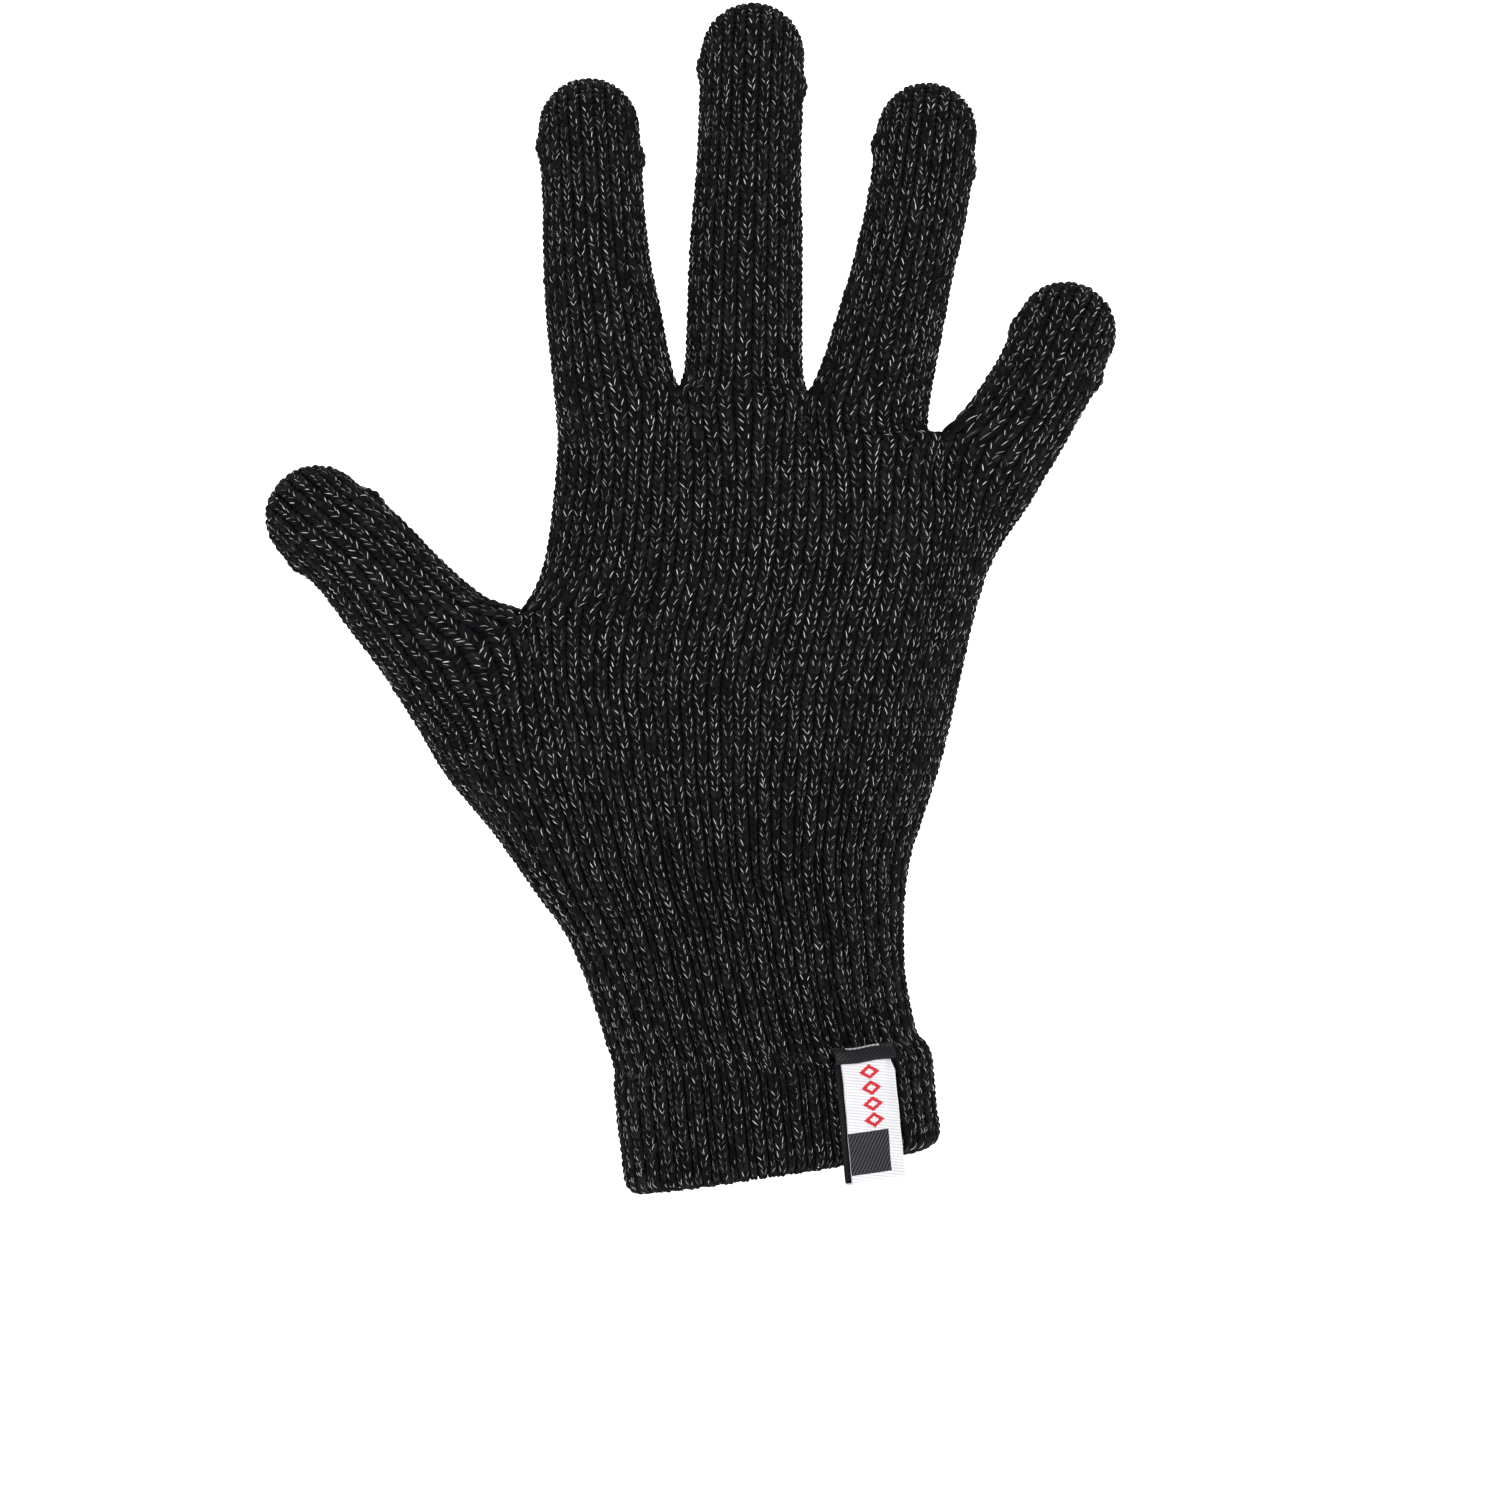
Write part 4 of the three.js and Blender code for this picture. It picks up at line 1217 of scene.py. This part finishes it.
def build_label():
    x = np.linspace(-LABEL_WIDTH / 2, LABEL_WIDTH / 2, LABEL_ACROSS + 1)[None, :]
    lines = label_lines()
    points = label_points(x, lines)
    rows = len(lines)
    slots = np.full((rows - 1, LABEL_ACROSS), WHITE)
    for r in range(rows - 1):
        for c in range(LABEL_ACROSS):
            if r < LABEL_STEPS_DOWN - 1:
                slots[r, c] = label_colour((x[0, c] + x[0, c + 1]) / 2, (lines[r, 0] + lines[r + 1, 0]) / 2)
            elif r > LABEL_STEPS_DOWN + LABEL_FOLD_STEPS // 2:
                slots[r, c] = BLACK_EDGE
    run = lengths(np.stack([lines[:, 0], lines[:, 1]], 1))
    uv = np.stack(np.broadcast_arrays(x, -run[:, None]), -1)
    back_slots = np.where(np.arange(rows - 1) > LABEL_STEPS_DOWN + LABEL_FOLD_STEPS // 2, BLACK_EDGE, WHITE)
    label = build_ribbon("label_cloth", points, slots, back_slots, LABEL_THICKNESS, LABEL_MATERIALS, uv)
    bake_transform(label)
    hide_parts("label_loop")


STRIP_WIDTH = 12.4
STRIP_BEND = 5.9  # distance from the middle at which the strip's ends have dropped by half a millimetre
SATIN_BLACK, SATIN_PAINTED_HIGHLIGHT = 0, 1


def build_strip():
    x = np.linspace(-STRIP_WIDTH / 2, STRIP_WIDTH / 2, 33)[None, :]
    y = np.linspace(4.1, 1.1, 15)[:, None]
    rolled = smooth((y - 3.2) / 0.9)
    out = 2.45 + 0.55 * np.exp(-(((y - 1.7) / 1.2) ** 2)) - 1.2 * rolled - 0.5 * (x / STRIP_BEND) ** 4
    sag = -0.3 * rolled * np.cos(x / STRIP_BEND * math.pi / 2) + 0.1 * np.sin(x * 0.8)
    points = (
        LABEL_ORIGIN
        + LABEL_SIDE * (x + 0 * y)[..., None]
        + LABEL_UP * (y + sag)[..., None]
        + LABEL_OUT * out[..., None]
    )
    slots = np.full((14, 32), SATIN_BLACK)
    # painted highlight: the middle of the top two rows gets a pale satin that stands in for light caught on
    # the rolled upper edge
    slots[:2, 7:25] = SATIN_PAINTED_HIGHLIGHT
    uv = np.stack(np.broadcast_arrays(x, y), -1)
    materials = [
        twill_material("strip_satin", (0.006, 0.006, 0.007), (0.017, 0.017, 0.020), 0.42, 0.55, -35, 0.1),
        # pale satin of the painted highlight along the strip's upper edge
        twill_material("strip_painted_highlight", (0.42, 0.42, 0.43), (0.16, 0.16, 0.165), 0.3, 0.55, -35, 0.5),
    ]
    strip = build_ribbon("label_strip_cloth", points, slots, np.zeros(14, int), 0.25, materials, uv)
    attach(strip, "cuff")
    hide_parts("label_strip")


build_label()
build_strip()

# ---------------------------------------------------------------- small CAD pieces that stay
RUBBER = yarn_material("elastic_thread", (0.02, 0.02, 0.022), 0.6, 0.15, 1200.0, 0.5, specular=0.3)
THREAD = yarn_material("sewing_thread", (0.012, 0.012, 0.014), 0.5, 0.1, 4000.0, 0.6, specular=0.4)
for node_name, node_look in (("hem_elastic", RUBBER), ("label_thread", THREAD)):
    for node_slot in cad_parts[node_name].material_slots:
        node_slot.material = node_look

# ---------------------------------------------------------------- stage, light and camera
VIEW_CENTRE = (-5.7 * MM, 0.0, 79.4 * MM)
VIEW_WIDTH = 285 * MM
CAMERA_DISTANCE = 1.3


def add_camera():
    data = bpy.data.cameras.new("camera")
    camera = bpy.data.objects.new("camera", data)
    bpy.context.scene.collection.objects.link(camera)
    data.sensor_width = 36
    data.lens = 36 * CAMERA_DISTANCE / VIEW_WIDTH
    data.clip_end = 20
    camera.location = (VIEW_CENTRE[0], -CAMERA_DISTANCE, VIEW_CENTRE[2])
    camera.rotation_euler = (math.radians(90), 0, 0)
    bpy.context.scene.camera = camera


def add_backdrop():
    """A pale sweep behind and below the glove."""
    material = yarn_material("backdrop", (0.93, 0.93, 0.93), 0.95, 0.02, 3.0)
    shader = material.node_tree.nodes["Principled BSDF"]
    shader.inputs["Emission Color"].default_value = (1, 1, 1, 1)
    shader.inputs["Emission Strength"].default_value = 0.75
    profile = [(-2.2, -0.32), (1.1, -0.32)]
    for step in range(1, 13):
        angle = math.radians(90 * step / 12)
        profile.append((1.1 + 0.8 * math.sin(angle), 0.48 - 0.8 * math.cos(angle)))
    profile.append((1.9, 3.2))
    verts = [(x, y, z) for y, z in profile for x in (-3.5, 3.5)]
    faces = [(2 * i, 2 * i + 1, 2 * i + 3, 2 * i + 2) for i in range(len(profile) - 1)]
    mesh = bpy.data.meshes.new("backdrop")
    mesh.from_pydata(verts, [], faces)
    mesh.materials.append(material)
    for polygon in mesh.polygons:
        polygon.use_smooth = True
    backdrop = bpy.data.objects.new("backdrop", mesh)
    bpy.context.scene.collection.objects.link(backdrop)


def add_area(name, location, target, size, power):
    data = bpy.data.lights.new(name, "AREA")
    data.shape = "DISK"
    data.size = size
    data.energy = power
    lamp = bpy.data.objects.new(name, data)
    bpy.context.scene.collection.objects.link(lamp)
    lamp.location = location
    aim = Vector(target) - Vector(location)
    lamp.rotation_euler = aim.to_track_quat("-Z", "Y").to_euler()


def add_light():
    world = bpy.data.worlds.new("world")
    bpy.context.scene.world = world
    world.use_nodes = True
    world.node_tree.nodes["Background"].inputs["Color"].default_value = (1, 1, 1, 1)
    world.node_tree.nodes["Background"].inputs["Strength"].default_value = 0.46
    add_area("key", (0.45, -1.5, 0.8), (0, 0, 0.1), 0.7, 18.5)
    add_area("fill", (-0.9, -1.2, 0.5), (0, 0, 0.1), 0.8, 5.6)
    add_area("top", (0.1, 0.2, 1.4), (0, 0, 0.1), 0.8, 6.3)


add_camera()
add_backdrop()
add_light()
bpy.context.scene.view_settings.view_transform = "Standard"
